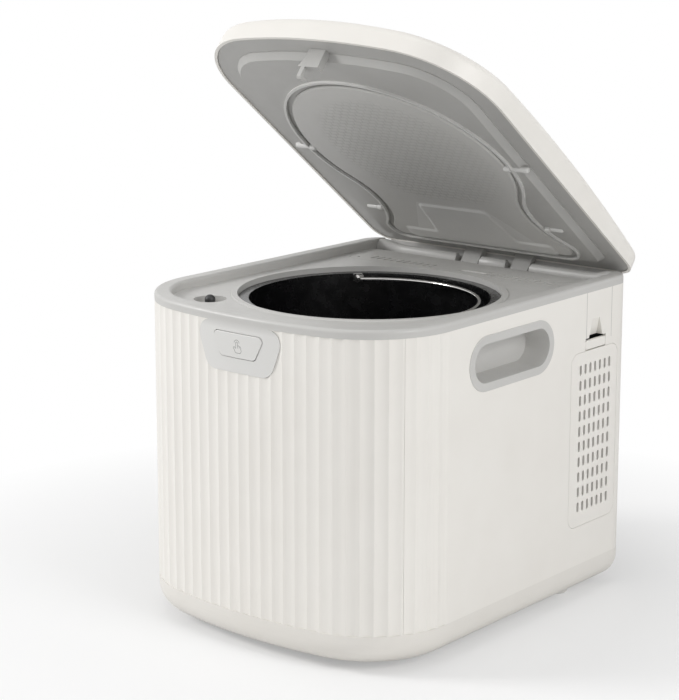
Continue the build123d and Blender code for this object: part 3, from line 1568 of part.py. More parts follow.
tray_face = side_plane.offset(-drawer_panel_wall)
with BuildPart() as filter_tray:
    with BuildSketch(tray_face):
        add(drawer_box(0, tray_corner))
    extrude(amount=-drawer_depth)
    with BuildSketch(tray_face):
        add(drawer_box(-tray_wall, tray_corner))
    extrude(amount=-drawer_depth + tray_wall, mode=Mode.SUBTRACT)
    with BuildSketch(tray_face):
        with Locations((drawer_y, drawer_mid_z)):
            with GridLocations(9, 16, 5, 7):
                RectangleRounded(6, 12, 1)
    extrude(amount=-drawer_depth, mode=Mode.SUBTRACT)
save(filter_tray, "filter_tray")

block_depth = (drawer_depth - tray_wall - filter_gap) / filter_blocks - filter_gap / 2
with BuildPart() as carbon_filters:
    for number in range(filter_blocks):
        start = filter_gap / 2 + number * (block_depth + filter_gap)
        with BuildSketch(tray_face.offset(-start)):
            add(drawer_box(-tray_wall - fit_gap, tray_corner))
        extrude(amount=-block_depth)
save(carbon_filters, "carbon_filters")

with BuildPart() as tray_seal:
    with BuildSketch(tray_face.offset(-drawer_depth)):
        add(drawer_box(-0.5, tray_corner))
        add(drawer_box(-3.0, tray_corner), mode=Mode.SUBTRACT)
    extrude(amount=-(bay_depth - bay_wall + shell_wall - drawer_panel_wall - drawer_depth - fit_gap))
save(tray_seal, "tray_seal")

# ---- blower: housing, motor, fan wheel and ducts ----
def blower_plan(margin=0.0):
    with BuildSketch(Plane.XY) as area:
        with Locations((blower_x, blower_y)):
            Circle(blower_radius + margin)
        with Locations((blower_x + (blower_radius + 6) / 2, duct_mid_y)):
            Rectangle(blower_radius + 6, duct_width + 2 * margin)
    return area.sketch


with BuildPart() as blower_housing:
    with BuildSketch(Plane.XY.offset(blower_z)):
        add(blower_plan())
    extrude(amount=blower_height)
    with BuildSketch(Plane.XY.offset(blower_z)):
        with Locations((blower_x, (blower_y + rear_y - shell_wall) / 2)):
            Rectangle(lug_width, rear_y - shell_wall - blower_y)
    extrude(amount=lug_wall)
    with BuildSketch(Plane.XY.offset(blower_z + blower_wall)):
        add(blower_plan(-blower_wall))
    extrude(amount=blower_height - 2 * blower_wall, mode=Mode.SUBTRACT)
    with BuildSketch(Plane.XY.offset(blower_z)):
        with Locations((blower_x, blower_y)):
            Circle(duct_radius)
    extrude(amount=blower_height, mode=Mode.SUBTRACT)
save(blower_housing, "blower_housing")

with BuildPart() as blower_motor:
    with BuildSketch(Plane.XY.offset(blower_z - blower_motor_height)):
        with Locations((blower_x, blower_y)):
            Circle(blower_motor_radius)
            Circle(fan_shaft_radius + running_gap, mode=Mode.SUBTRACT)
    extrude(amount=blower_motor_height)
save(blower_motor, "blower_motor")

with BuildPart() as fan_wheel:
    with BuildSketch(Plane.XY.offset(blower_z + blower_wall + fan_gap)):
        with Locations((blower_x, blower_y)):
            Circle(fan_radius)
    extrude(amount=1.2)
    with BuildSketch(Plane.XY.offset(blower_z + blower_wall + fan_gap)):
        with Locations((blower_x, blower_y)):
            Circle(5)
            with PolarLocations(fan_radius - 6, fan_blades):
                Rectangle(10, 1.2, rotation=35)
    extrude(amount=blower_height - 2 * blower_wall - 2 * fan_gap)
    with BuildSketch(Plane.XY.offset(blower_z - blower_motor_height + 2)):
        with Locations((blower_x, blower_y)):
            Circle(fan_shaft_radius)
    extrude(amount=blower_motor_height + blower_height / 2)
save(fan_wheel, "fan_wheel")

with BuildPart() as intake_duct:
    with BuildSketch(Plane.XY.offset(blower_top)):
        with Locations((blower_x, blower_y)):
            Circle(duct_radius + duct_wall)
            Circle(duct_radius, mode=Mode.SUBTRACT)
    extrude(amount=floor_under - blower_top)
save(intake_duct, "intake_duct")

with BuildPart() as outlet_duct:
    duct_start = blower_x + blower_radius + 6
    with BuildSketch(Plane.YZ.offset(duct_start)):
        with Locations((duct_mid_y, blower_z + blower_height / 2)):
            Rectangle(duct_width, duct_height)
            Rectangle(duct_width - 2 * duct_wall, duct_height - 2 * duct_wall, mode=Mode.SUBTRACT)
    extrude(amount=bay_back_x - duct_start)
save(outlet_duct, "outlet_duct")

# ---- main board on standoffs, and the mains inlet ----
with BuildPart() as main_board:
    with BuildSketch(board_plane):
        Rectangle(board_length, board_height)
    extrude(amount=board_wall)
    with BuildSketch(board_plane.offset(board_wall)):
        with Locations((-16, 38)):
            Rectangle(30, 34)
        with Locations((20, 40)):
            Rectangle(18, 26)
        with Locations((-20, -38)):
            Rectangle(24, 30)
    extrude(amount=18)
    with BuildSketch(board_plane.offset(board_wall)):
        with Locations((12, -4), (26, -4), (12, -22)):
            Circle(6)
    extrude(amount=22)
    with BuildSketch(board_plane.offset(board_wall)):
        with Locations((-14, 4)):
            with GridLocations(4, 1, 6, 1):
                Rectangle(1.6, 26)
    extrude(amount=14)
save(main_board, "main_board")

inlet_wall = 1.8
inlet_cavity = 16.0
pin_recess = 5.5
with BuildPart() as power_inlet:
    with BuildSketch(back_plane):
        with Locations((-inlet_x, inlet_z)):
            RectangleRounded(inlet_width + 2 * inlet_flange, inlet_height + inlet_flange, 2)
    extrude(amount=1.5)
    with BuildSketch(back_plane):
        with Locations((-inlet_x, inlet_z)):
            RectangleRounded(inlet_width, inlet_height, 2)
    extrude(amount=-inlet_depth)
    with BuildSketch(back_plane.offset(1.5)):
        with Locations((-inlet_x, inlet_z)):
            RectangleRounded(inlet_width - 2 * inlet_wall, inlet_height - 2 * inlet_wall, 1.5)
    extrude(amount=-inlet_cavity - 1.5, mode=Mode.SUBTRACT)
    with BuildSketch(back_plane.offset(-inlet_cavity)):
        with Locations((-inlet_x - 7, inlet_z - 2), (-inlet_x, inlet_z + 2), (-inlet_x + 7, inlet_z - 2)):
            Rectangle(2, 4)
    extrude(amount=inlet_cavity - pin_recess)
save(power_inlet, "power_inlet")
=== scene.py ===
import json
import math

import bmesh
import bpy
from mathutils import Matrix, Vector


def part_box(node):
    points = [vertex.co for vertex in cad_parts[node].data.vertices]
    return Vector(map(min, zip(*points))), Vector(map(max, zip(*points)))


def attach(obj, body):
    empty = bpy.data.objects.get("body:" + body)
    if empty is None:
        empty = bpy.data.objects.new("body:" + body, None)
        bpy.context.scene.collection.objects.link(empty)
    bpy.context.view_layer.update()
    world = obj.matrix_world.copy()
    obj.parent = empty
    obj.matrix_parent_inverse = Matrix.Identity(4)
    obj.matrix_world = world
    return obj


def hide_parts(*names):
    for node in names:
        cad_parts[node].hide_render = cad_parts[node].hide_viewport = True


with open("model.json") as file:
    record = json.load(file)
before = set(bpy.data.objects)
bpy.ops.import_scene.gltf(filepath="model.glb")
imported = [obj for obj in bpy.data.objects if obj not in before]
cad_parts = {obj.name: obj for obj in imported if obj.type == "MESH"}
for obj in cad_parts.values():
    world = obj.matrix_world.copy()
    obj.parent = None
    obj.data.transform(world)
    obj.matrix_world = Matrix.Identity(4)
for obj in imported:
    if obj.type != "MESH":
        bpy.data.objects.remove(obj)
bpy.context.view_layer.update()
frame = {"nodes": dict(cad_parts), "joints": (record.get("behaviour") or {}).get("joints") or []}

lidHinge = tuple(next(joint["pos_m"] for joint in frame["joints"] if joint["name"] == "lid_hinge"))
lidAngle = math.radians(-38)  # turns the closed lid about the hinge to where it is propped


# node helpers, for shaders and for Geometry Nodes
def addNode(tree, kind, **settings):
    node = tree.nodes.new(kind)
    for key, value in settings.items():
        setattr(node, key, value)
    return node


def objectCoords(tree, scale=(1, 1, 1), turn=(0, 0, 0), centre=(0, 0, 0)):  # a pattern's frame on the piece
    coords = addNode(tree, "ShaderNodeTexCoord")
    mapping = addNode(tree, "ShaderNodeMapping", vector_type="TEXTURE")
    mapping.inputs["Location"].default_value = centre
    mapping.inputs["Rotation"].default_value = turn
    mapping.inputs["Scale"].default_value = tuple(1 / part for part in scale)
    tree.links.new(coords.outputs["Object"], mapping.inputs["Vector"])
    return mapping.outputs["Vector"]


def lidCoords(tree):  # a frame that lies flat on the closed lid, with the hinge at its origin
    return objectCoords(tree, turn=(lidAngle, 0, 0), centre=lidHinge)


def noise(tree, vector, scale, detail=2.0, rough=0.5):
    node = addNode(tree, "ShaderNodeTexNoise")
    node.inputs["Scale"].default_value = scale
    node.inputs["Detail"].default_value = detail
    node.inputs["Roughness"].default_value = rough
    tree.links.new(vector, node.inputs["Vector"])
    return node.outputs["Fac"]


def spread(tree, value, low, high, fromLow=0.3, fromHigh=0.7):
    node = addNode(tree, "ShaderNodeMapRange")
    for name, number in (("From Min", fromLow), ("From Max", fromHigh), ("To Min", low), ("To Max", high)):
        node.inputs[name].default_value = number
    tree.links.new(value, node.inputs["Value"])
    return node.outputs["Result"]


def blendColors(tree, factor, first, second):
    node = addNode(tree, "ShaderNodeMix", data_type="RGBA")
    tree.links.new(factor, node.inputs[0])
    for socket, color in ((node.inputs[6], first), (node.inputs[7], second)):  # the two colour sockets
        if isinstance(color, tuple):
            socket.default_value = (*color, 1)
        else:
            tree.links.new(color, socket)
    return node.outputs[2]


def addBump(tree, shader, height, distance, below=None):
    node = addNode(tree, "ShaderNodeBump")
    node.inputs["Strength"].default_value = 1.0
    node.inputs["Distance"].default_value = distance
    tree.links.new(height, node.inputs["Height"])
    if below:
        tree.links.new(below, node.inputs["Normal"])
    tree.links.new(node.outputs["Normal"], shader.inputs["Normal"])


def calc(tree, operation, first, second=None, clamp=False):
    node = addNode(tree, "ShaderNodeMath", operation=operation, use_clamp=clamp)
    for socket, value in zip(node.inputs, (first, second)):
        if isinstance(value, (int, float)):
            socket.default_value = value
        elif value is not None:
            tree.links.new(value, socket)
    return node.outputs[0]


def calcVector(tree, operation, first, second=None):
    node = addNode(tree, "ShaderNodeVectorMath", operation=operation)
    for socket, value in zip(node.inputs, (first, second)):
        if isinstance(value, tuple):
            socket.default_value = value
        elif value is not None:
            tree.links.new(value, socket)
    return node.outputs["Value" if operation in ("LENGTH", "DOT_PRODUCT") else "Vector"]


def splitAxes(tree, vector):
    node = addNode(tree, "ShaderNodeSeparateXYZ")
    tree.links.new(vector, node.inputs[0])
    return node.outputs


def flatten(tree, first, second):  # two coordinates as a flat point
    node = addNode(tree, "ShaderNodeCombineXYZ")
    tree.links.new(first, node.inputs[0])
    tree.links.new(second, node.inputs[1])
    return node.outputs[0]


def capsuleDistance(tree, point, start, end, radius):  # from a point to a rounded bar
    along = tuple(b - a for a, b in zip(start, end)) + (0.0,)
    lengthSquared = along[0] ** 2 + along[1] ** 2
    offset = calcVector(tree, "SUBTRACT", point, (*start, 0.0))
    share = calc(tree, "DIVIDE", calcVector(tree, "DOT_PRODUCT", offset, along), lengthSquared, clamp=True)
    nearest = addNode(tree, "ShaderNodeVectorMath", operation="SCALE")
    nearest.inputs[0].default_value = along
    tree.links.new(share, nearest.inputs["Scale"])
    gap = calcVector(tree, "LENGTH", calcVector(tree, "SUBTRACT", offset, nearest.outputs[0]))
    return calc(tree, "SUBTRACT", gap, radius)


def lineMask(tree, distance, width, core=0.35, edge=0.65):  # 1 on the outline, where the distance is nothing
    return spread(tree, calc(tree, "ABSOLUTE", distance), 1, 0, width * core, width * edge)


# finishes: colour and its drift, roughness range, and the grain's scale and depth in metres
finishes = {
    "warmWhite": dict(color=(0.84, 0.818, 0.775), deep=(0.815, 0.79, 0.745),
                      rough=(0.34, 0.44), grain=1500, depth=0.00002),
    "warmWhiteBase": dict(color=(0.78, 0.757, 0.715), deep=(0.755, 0.73, 0.685),
                          rough=(0.30, 0.40), grain=1500, depth=0.00002),
    "deckGrey": dict(color=(0.56, 0.553, 0.535), deep=(0.535, 0.528, 0.51),
                     rough=(0.36, 0.46), grain=1300, depth=0.00003),
    "bezelGrey": dict(color=(0.585, 0.578, 0.56), deep=(0.56, 0.553, 0.535),
                      rough=(0.36, 0.46), grain=1300, depth=0.00003),
    "linerGrey": dict(color=(0.47, 0.465, 0.449), deep=(0.445, 0.44, 0.424),
                      rough=(0.38, 0.48), grain=1100, depth=0.00004),
    "coverGrey": dict(color=(0.6, 0.593, 0.572), deep=(0.575, 0.568, 0.548),
                      rough=(0.38, 0.48), grain=1100, depth=0.00004),
    # keyGreyPaintedLight is the deck's grey made lighter, as painted light on the front-lit open button
    "keyGreyPaintedLight": dict(color=(0.71, 0.704, 0.685), deep=(0.685, 0.679, 0.66),
                    rough=(0.36, 0.46), grain=1300, depth=0.00003),
    "gasketGrey": dict(color=(0.36, 0.355, 0.345), deep=(0.32, 0.315, 0.31),
                       rough=(0.5, 0.62), grain=900, depth=0.00003),
    # rimGreyAndHighlight is partly the pale grey of the lid gasket and cover pins, partly painted highlight:
    # the gasket rim and the platform's sloped bevel are made lighter for the light falling on them
    "rimGreyAndHighlight": dict(color=(0.68, 0.675, 0.655), deep=(0.64, 0.635, 0.62),
                    rough=(0.4, 0.5), grain=900, depth=0.00003),
    "footWhite": dict(color=(0.74, 0.73, 0.7), deep=(0.7, 0.69, 0.66),
                      rough=(0.5, 0.6), grain=1200, depth=0.00003),
    "sealBlack": dict(color=(0.02, 0.02, 0.021), deep=(0.032, 0.032, 0.033),
                      rough=(0.55, 0.72), grain=1000, depth=0.00004),
    "nylonBlack": dict(color=(0.018, 0.018, 0.019), deep=(0.03, 0.03, 0.031),
                       rough=(0.42, 0.56), grain=1300, depth=0.00003),
    "nylonIvory": dict(color=(0.72, 0.69, 0.58), deep=(0.68, 0.64, 0.52),
                       rough=(0.4, 0.52), grain=1200, depth=0.00003),
    "coatedBlack": dict(color=(0.002, 0.002, 0.0022), deep=(0.0035, 0.0035, 0.004),
                        rough=(0.22, 0.3), grain=2600, depth=0.000006, coat=0.1),
    "glassBlack": dict(color=(0.006, 0.006, 0.008), deep=(0.008, 0.008, 0.01),
                       rough=(0.06, 0.1), grain=300, depth=0.000004, coat=0.8),
    "brightWire": dict(color=(0.74, 0.73, 0.72), deep=(0.62, 0.61, 0.6),
                       rough=(0.12, 0.22), grain=700, depth=0.000006, metal=1.0),
    "turnedSteel": dict(color=(0.52, 0.52, 0.52), deep=(0.42, 0.42, 0.42),
                        rough=(0.24, 0.38), grain=500, depth=0.00001, metal=1.0, stretch=(1, 1, 14)),
    "zincSheet": dict(color=(0.6, 0.6, 0.61), deep=(0.48, 0.49, 0.5),
                      rough=(0.3, 0.5), grain=160, depth=0.00001, metal=1.0, drift=60),
    "castAluminium": dict(color=(0.56, 0.56, 0.57), deep=(0.46, 0.46, 0.47),
                          rough=(0.42, 0.6), grain=900, depth=0.00006, metal=1.0),
    "sinteredBronze": dict(color=(0.5, 0.33, 0.15), deep=(0.38, 0.25, 0.12),
                           rough=(0.35, 0.5), grain=1800, depth=0.00003, metal=1.0),
    "motorPaint": dict(color=(0.1, 0.1, 0.105), deep=(0.13, 0.13, 0.135),
                       rough=(0.35, 0.5), grain=900, depth=0.00002),
    "carbonBlack": dict(color=(0.012, 0.012, 0.013), deep=(0.035, 0.035, 0.036),
                        rough=(0.45, 0.7), grain=2200, depth=0.00005, drift=400),
    "solderMask": dict(color=(0.012, 0.13, 0.045), deep=(0.02, 0.17, 0.06),
                       rough=(0.3, 0.42), grain=400, depth=0.00001, coat=0.2),
}
finishNoise = dict(driftDetail=3, patchScale=6, patchDetail=4, grainDetail=2, grainRough=0.6, coatRough=0.08)


def makeFinish(name, color, deep, rough, grain, depth, metal=0.0, coat=0.0, stretch=(1, 1, 1), drift=18):
    look = finishNoise
    material = bpy.data.materials.new(name)
    material.use_nodes = True
    tree = material.node_tree
    shader = tree.nodes["Principled BSDF"]
    shader.inputs["Metallic"].default_value = metal
    if coat:
        shader.inputs["Coat Weight"].default_value = coat
        shader.inputs["Coat Roughness"].default_value = look["coatRough"]
    plain = objectCoords(tree)
    slow = spread(tree, noise(tree, plain, drift, look["driftDetail"]), 0, 1)
    tree.links.new(blendColors(tree, slow, color, deep), shader.inputs["Base Color"])
    patches = noise(tree, plain, drift * look["patchScale"], look["patchDetail"])
    tree.links.new(spread(tree, patches, *rough), shader.inputs["Roughness"])
    fine = noise(tree, objectCoords(tree, stretch), grain, look["grainDetail"], look["grainRough"])
    addBump(tree, shader, fine, depth)
    return material


materials = {name: makeFinish(name, **look) for name, look in finishes.items()}
print("plain finishes:", len(materials))


def addPaintedFinish(name, base, makeMask, color):  # a finish with a second colour where the mask is 1
    material = makeFinish(name, **finishes[base])
    tree = material.node_tree
    mask = makeMask(tree)
    paint = tree.nodes["Principled BSDF"].inputs["Base Color"]
    tree.links.new(blendColors(tree, mask, paint.links[0].from_socket, color), paint)
    materials[name] = material


# inner cover: rows of small staggered pads over its round part, each row and cell parted by a seam; the seams
# are pressed in with a bump and painted darker, as painted shade in the grooves
coverLook = dict(cell=(0.0074, 0.0048), seam=0.0008, depth=0.00035, shade=0.3, color=(0.4, 0.395, 0.38),
                 centre=(0.008, -0.0183), radius=0.083, fade=0.01, backY=0.056)


def padSeamsAndShade(tree):
    look = coverLook
    shader = tree.nodes["Principled BSDF"]
    place = lidCoords(tree)
    x, y, _ = splitAxes(tree, place)
    rows = addNode(tree, "ShaderNodeTexBrick")
    for label, value in (("Scale", 1.0), ("Mortar Size", look["seam"]), ("Mortar Smooth", 1.0),
                         ("Brick Width", look["cell"][0]), ("Row Height", look["cell"][1])):
        rows.inputs[label].default_value = value
    tree.links.new(place, rows.inputs["Vector"])
    middleX, middleY = look["centre"]
    fromX = calc(tree, "SUBTRACT", x, middleX)
    fromY = calc(tree, "SUBTRACT", y, middleY - lidHinge[1])
    away = calcVector(tree, "LENGTH", flatten(tree, fromX, fromY))
    inside = spread(tree, away, 1, 0, look["radius"] - look["fade"], look["radius"])
    back = look["backY"] - lidHinge[1]
    ahead = spread(tree, y, 1, 0, back - look["fade"], back)
    seams = calc(tree, "MULTIPLY", rows.outputs["Fac"], calc(tree, "MULTIPLY", inside, ahead))
    relief = calc(tree, "MULTIPLY", seams, -1.0)
    addBump(tree, shader, relief, look["depth"], below=shader.inputs["Normal"].links[0].from_socket)
    # the returned mask paints the seams darker: painted shade in the grooves between pads
    return calc(tree, "MULTIPLY", seams, look["shade"])


addPaintedFinish("coverWeave", "coverGrey", padSeamsAndShade, coverLook["color"])

# open button: a pressing hand in grey line, of rounded bars (start, end, radius), with an arc over the finger
handLook = dict(
    middle=(0.0, 0.2385), scale=0.00098, line=0.0004, color=(0.2, 0.198, 0.192),
    bars=(((0, 2.4), (0, -1.6), 0.95), ((1.75, -0.2), (1.75, -2), 0.85), ((3.3, -0.7), (3.3, -2.2), 0.8),
          ((-0.2, -3.2), (2.6, -3.2), 1.9), ((-2.6, -1.4), (-1.0, -3.0), 0.8)),
    arc=dict(middle=2.4, radius=2.5, above=2.6),
)


def handLines(tree):
    look = handLook
    size, arc = look["scale"], look["arc"]
    x, _, z = splitAxes(tree, objectCoords(tree, centre=(look["middle"][0], 0, look["middle"][1])))
    point = flatten(tree, x, z)
    shape = None
    for start, end, radius in look["bars"]:
        start, end = (tuple(size * value for value in spot) for spot in (start, end))
        bar = capsuleDistance(tree, point, start, end, size * radius)
        shape = bar if shape is None else calc(tree, "MINIMUM", shape, bar)
    outline = lineMask(tree, shape, look["line"])
    tip = calcVector(tree, "LENGTH", calcVector(tree, "SUBTRACT", point, (0.0, size * arc["middle"], 0.0)))
    ring = lineMask(tree, calc(tree, "SUBTRACT", tip, size * arc["radius"]), look["line"])
    ring = calc(tree, "MULTIPLY", ring, calc(tree, "GREATER_THAN", z, size * arc["above"]))
    return calc(tree, "MAXIMUM", outline, ring)


# the open button wears the lighter key grey as painted light, with the hand as print over it
addPaintedFinish("buttonGreyPaintedLight", "keyGreyPaintedLight", handLines, handLook["color"])

# touch panel: a row of four plain rings, each round a dot
ringLook = dict(middleY=-0.1166, pitch=0.026, radius=0.0052, line=0.0006, dot=0.001, dotEdge=(0.9, 1.1),
                color=(0.62, 0.62, 0.6))


def touchRings(tree):
    look = ringLook
    pitch = look["pitch"]
    x, y, _ = splitAxes(tree, lidCoords(tree))
    column = calc(tree, "SUBTRACT", calc(tree, "FLOORED_MODULO", x, pitch), pitch / 2)
    row = calc(tree, "SUBTRACT", y, look["middleY"] - lidHinge[1])
    away = calcVector(tree, "LENGTH", flatten(tree, column, row))
    ring = lineMask(tree, calc(tree, "SUBTRACT", away, look["radius"]), look["line"])
    dot = spread(tree, away, 1, 0, *(look["dot"] * share for share in look["dotEdge"]))
    return calc(tree, "MAXIMUM", ring, dot)


addPaintedFinish("touchGlass", "glassBlack", touchRings, ringLook["color"])

# deck: the apron round the open button is painted a lighter grey, as painted light where the light from the
# front falls on it
apronLightLook = dict(face=-0.169, low=0.25, high=0.2565, color=(0.7, 0.694, 0.675))


def deckApronPaintedLight(tree):
    _, y, z = splitAxes(tree, objectCoords(tree))
    front = calc(tree, "LESS_THAN", y, apronLightLook["face"])
    return calc(tree, "MULTIPLY", front, spread(tree, z, 1, 0, apronLightLook["low"], apronLightLook["high"]))


addPaintedFinish("deckTopPaintedLight", "deckGrey", deckApronPaintedLight, apronLightLook["color"])

# rear casing: two fine upright seams above the drawer, and the same on the other side
seamLook = dict(places=(0.0889, 0.125), low=0.214, side=0.134, width=0.0007, color=(0.5, 0.49, 0.465))


def casingSeams(tree):
    x, y, z = splitAxes(tree, objectCoords(tree))
    lines = None
    for place in seamLook["places"]:
        line = lineMask(tree, calc(tree, "SUBTRACT", y, place), seamLook["width"])
        lines = line if lines is None else calc(tree, "MAXIMUM", lines, line)
    high = calc(tree, "GREATER_THAN", z, seamLook["low"])
    side = calc(tree, "GREATER_THAN", calc(tree, "ABSOLUTE", x), seamLook["side"])
    return calc(tree, "MULTIPLY", lines, calc(tree, "MULTIPLY", high, side))


addPaintedFinish("casingWhite", "warmWhite", casingSeams, seamLook["color"])

# lid shell: white, but grey on the inner face of its back skirt, with top and face measured from the hinge
skirtLook = dict(top=0.0152, face=0.0027, color=(0.55, 0.543, 0.525))


def skirtInside(tree):
    _, y, z = splitAxes(tree, lidCoords(tree))
    below = calc(tree, "LESS_THAN", z, skirtLook["top"])
    return calc(tree, "MULTIPLY", below, calc(tree, "LESS_THAN", y, skirtLook["face"]))


addPaintedFinish("lidWhite", "warmWhite", skirtInside, skirtLook["color"])
print("all finishes:", len(materials))

# which finish each CAD node wears
wears = {
    "warmWhite": ("front_panel", "vent_panel", "drawer_latch"),
    "casingWhite": ("rear_casing",),
    "lidWhite": ("lid_shell",),
    "warmWhiteBase": ("base_pan",),
    "deckTopPaintedLight": ("deck",),
    "deckGrey": ("exhaust_cover",),
    "buttonGreyPaintedLight": ("open_button",),
    "bezelGrey": ("handle_cup_right", "handle_cup_left"),
    "linerGrey": ("lid_liner", "cover_clips", "latch_hook", "hinge_arms", "hinge_brackets"),
    "coverWeave": ("inner_cover",),
    "rimGreyAndHighlight": ("lid_gasket",),
    "gasketGrey": ("well_gasket", "tray_seal"),
    "footWhite": ("feet",),
    "sealBlack": ("shaft_seal", "carbon_filters"),
    "nylonBlack": ("gearbox_housing", "gearbox_cover", "latch_slide", "latch_keeper", "interlock_plunger",
                   "interlock_switch", "drawer_bay", "filter_tray", "blower_housing", "fan_wheel",
                   "intake_duct", "outlet_duct", "power_inlet"),
    "nylonIvory": ("output_gear", "idler_gear"),
    "coatedBlack": ("bucket",),
    "touchGlass": ("touch_panel",),
    "brightWire": ("bail", "bail_lugs", "hinge_pins", "button_springs", "plunger_spring"),
    "turnedSteel": ("base_screws", "motor_pinion", "bearings", "idler_axle", "output_shaft",
                    "temperature_sensor"),
    "zincSheet": ("well_liner", "heat_shield"),
    "castAluminium": ("heater_plate", "agitator"),
    "sinteredBronze": ("bucket_bushing",),
    "motorPaint": ("motor_can", "blower_motor"),
    "solderMask": ("lid_board", "main_board"),
}
finishOf = {node: finish for finish, members in wears.items() for node in members}
for node, item in frame["nodes"].items():
    item.data.materials.clear()
    item.data.materials.append(materials[finishOf[node]])
print("dressed nodes:", len(finishOf))


# helpers for the added pieces
def lidPoint(x, y, z):  # a place in mm on the closed lid, put in metres where the propped lid has it
    y, z = y / 1000 - lidHinge[1], z / 1000 - lidHinge[2]
    return Vector((x / 1000, lidHinge[1] + math.cos(lidAngle) * y - math.sin(lidAngle) * z,
                   lidHinge[2] + math.sin(lidAngle) * y + math.cos(lidAngle) * z))


def meshOf(name, shell):  # the shell as a plain mesh
    mesh = bpy.data.meshes.new(name)
    shell.to_mesh(mesh)
    shell.free()
    return mesh


def addPiece(name, mesh, body, finish, cap=None, node=None, smooth=0):  # cap is a second finish
    shell = bmesh.new()
    shell.from_mesh(mesh)
    bmesh.ops.remove_doubles(shell, verts=shell.verts, dist=1e-7)
    bmesh.ops.recalc_face_normals(shell, faces=shell.faces)
    shell.to_mesh(mesh)
    shell.free()
    piece = bpy.data.objects.new(name, mesh)
    bpy.context.collection.objects.link(piece)
    mesh.materials.clear()
    mesh.materials.append(materials[finish])
    if cap:
        mesh.materials.append(materials[cap])
    if smooth:
        mesh.shade_smooth()
        mesh.set_sharp_from_angle(angle=math.radians(smooth))
    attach(piece, body)
    if node:
        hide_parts(node)
    print("piece:", name, len(mesh.polygons), "faces")


def roundedOutline(corners, steps=6):  # corners are (x, y, radius) in order
    points = []
    for i, (x, y, radius) in enumerate(corners):
        here = Vector((x, y))
        back = (Vector(corners[i - 1][:2]) - here).normalized()
        on = (Vector(corners[(i + 1) % len(corners)][:2]) - here).normalized()
        half = back.angle(on) / 2
        reach = radius / math.tan(half)
        centre = here + (back + on).normalized() * radius / math.sin(half)
        start, end = here + back * reach - centre, here + on * reach - centre
        for step in range(steps + 1):
            share = step / steps
            points.append(centre + (start * (1 - share) + end * share).normalized() * radius)
    return points


def insetOutline(points, amount):
    moved = []
    for i, here in enumerate(points):
        along = (points[(i + 1) % len(points)] - points[i - 1]).normalized()
        moved.append(here + Vector((-along.y, along.x)) * amount)
    return moved


def lidLoop(shell, points, level):  # a flat ring of points at one height of the closed lid
    return [shell.verts.new(lidPoint(point.x, point.y, level)) for point in points]


def skinLoops(shell, loops):  # faces from each ring to the next, then one over each end
    faces = []
    for first, second in zip(loops, loops[1:]):
        for i in range(len(first)):
            faces.append(shell.faces.new((first[i - 1], first[i], second[i], second[i - 1])))
    return faces + [shell.faces.new(loops[0]), shell.faces.new(loops[-1])]


# raised platform at the hinge end of the inner cover, in mm on the closed lid, with corners as (x, y,
# radius); its sloped bevel wears the lighter rim grey as painted highlight
platformLook = dict(
    height=1.1, slope=4.2, face=257.3, root=257.8, steps=6,
    outline=((-36, 62, 7), (36, 62, 7), (43, 108, 2), (77, 108, 5), (77, 126, 6), (-77, 126, 6),
             (-77, 108, 5), (-43, 108, 2)),
    # a thin plate levels the cover's face under the platform
    plate=((-35, 60.6, 0.5), (35, 60.6, 0.5), (62.5, 111.4, 0.5), (42, 124.2, 0.5), (-42, 124.2, 0.5),
           (-62.5, 111.4, 0.5)),
    plateRoot=0.55, plateRise=0.04, plateSteps=2,
)


def makePlatform():
    look = platformLook
    shell = bmesh.new()
    outline = roundedOutline(look["outline"])
    profile = [(0, look["root"]), (0, look["face"])]
    for step in range(1, look["steps"] + 1):
        share = step / look["steps"]
        eased = 3 * share ** 2 - 2 * share ** 3
        profile.append((look["slope"] * share, look["face"] - look["height"] * eased))
    loops = [lidLoop(shell, insetOutline(outline, inset), level) for inset, level in profile]
    cap = skinLoops(shell, loops)[-1]
    plate = roundedOutline(look["plate"], look["plateSteps"])
    levels = (look["face"] + look["plateRoot"], look["face"] - look["plateRise"])
    for face in [cap, *skinLoops(shell, [lidLoop(shell, plate, level) for level in levels])]:
        face.material_index = 1  # the cover's own finish
    return meshOf("coverPlatform", shell)


# the bevel's lighter rim grey is painted highlight; the top and the plate wear the cover's grey
addPiece("coverPlatform", makePlatform(), "lid", "rimGreyAndHighlight", cap="coverGrey")

# pins that hold the inner cover, each a round head on a rod, in mm on the closed lid
pinLook = dict(
    sides=28, low=256.0, pole=0.01,
    # inner end, outer end, y, radius of the rod, radius of the head, length of the head
    pins=((95.0, 117.5, -12.6, 2.5, 3.4, 6.5), (84.0, 101.0, 82.0, 1.9, 2.7, 5.0)),
    # the rounding: how far from each place along the pin, and the share of the radius there
    headStart=((0, 0.7), (0.4, 0.93), (1.0, 1)), headEnd=((-0.8, 1), (-0.2, 0.92)),
    rodStart=((0, 0.8), (0.4, 0.8), (0.7, 1)), rodEnd=((-1.2, 1), (-0.4, 0.85), (0, 0.5)),
)


def pinProfile(inner, outer, rod, head, headLength):
    look = pinLook
    neck = inner + headLength
    profile = [(inner, look["pole"])]
    for place, radius, rounding in ((inner, head, look["headStart"]), (neck, head, look["headEnd"]),
                                    (neck, rod, look["rodStart"]), (outer, rod, look["rodEnd"])):
        profile += [(place + offset, radius * share) for offset, share in rounding]
    return profile + [(outer, look["pole"])]


def makePins():
    look = pinLook
    shell = bmesh.new()
    angles = [2 * math.pi * i / look["sides"] for i in range(look["sides"])]
    for inner, outer, y, rod, head, headLength in look["pins"]:
        level = look["low"] + head
        for side in (-1, 1):
            loops = []
            for x, radius in pinProfile(inner, outer, rod, head, headLength):
                ring = [(y + radius * math.cos(angle), level + radius * math.sin(angle)) for angle in angles]
                loops.append([shell.verts.new(lidPoint(side * x, across, up)) for across, up in ring])
            skinLoops(shell, loops)
    return meshOf("coverPins", shell)


addPiece("coverPins", makePins(), "lid", "rimGreyAndHighlight", node="cover_clips", smooth=50)

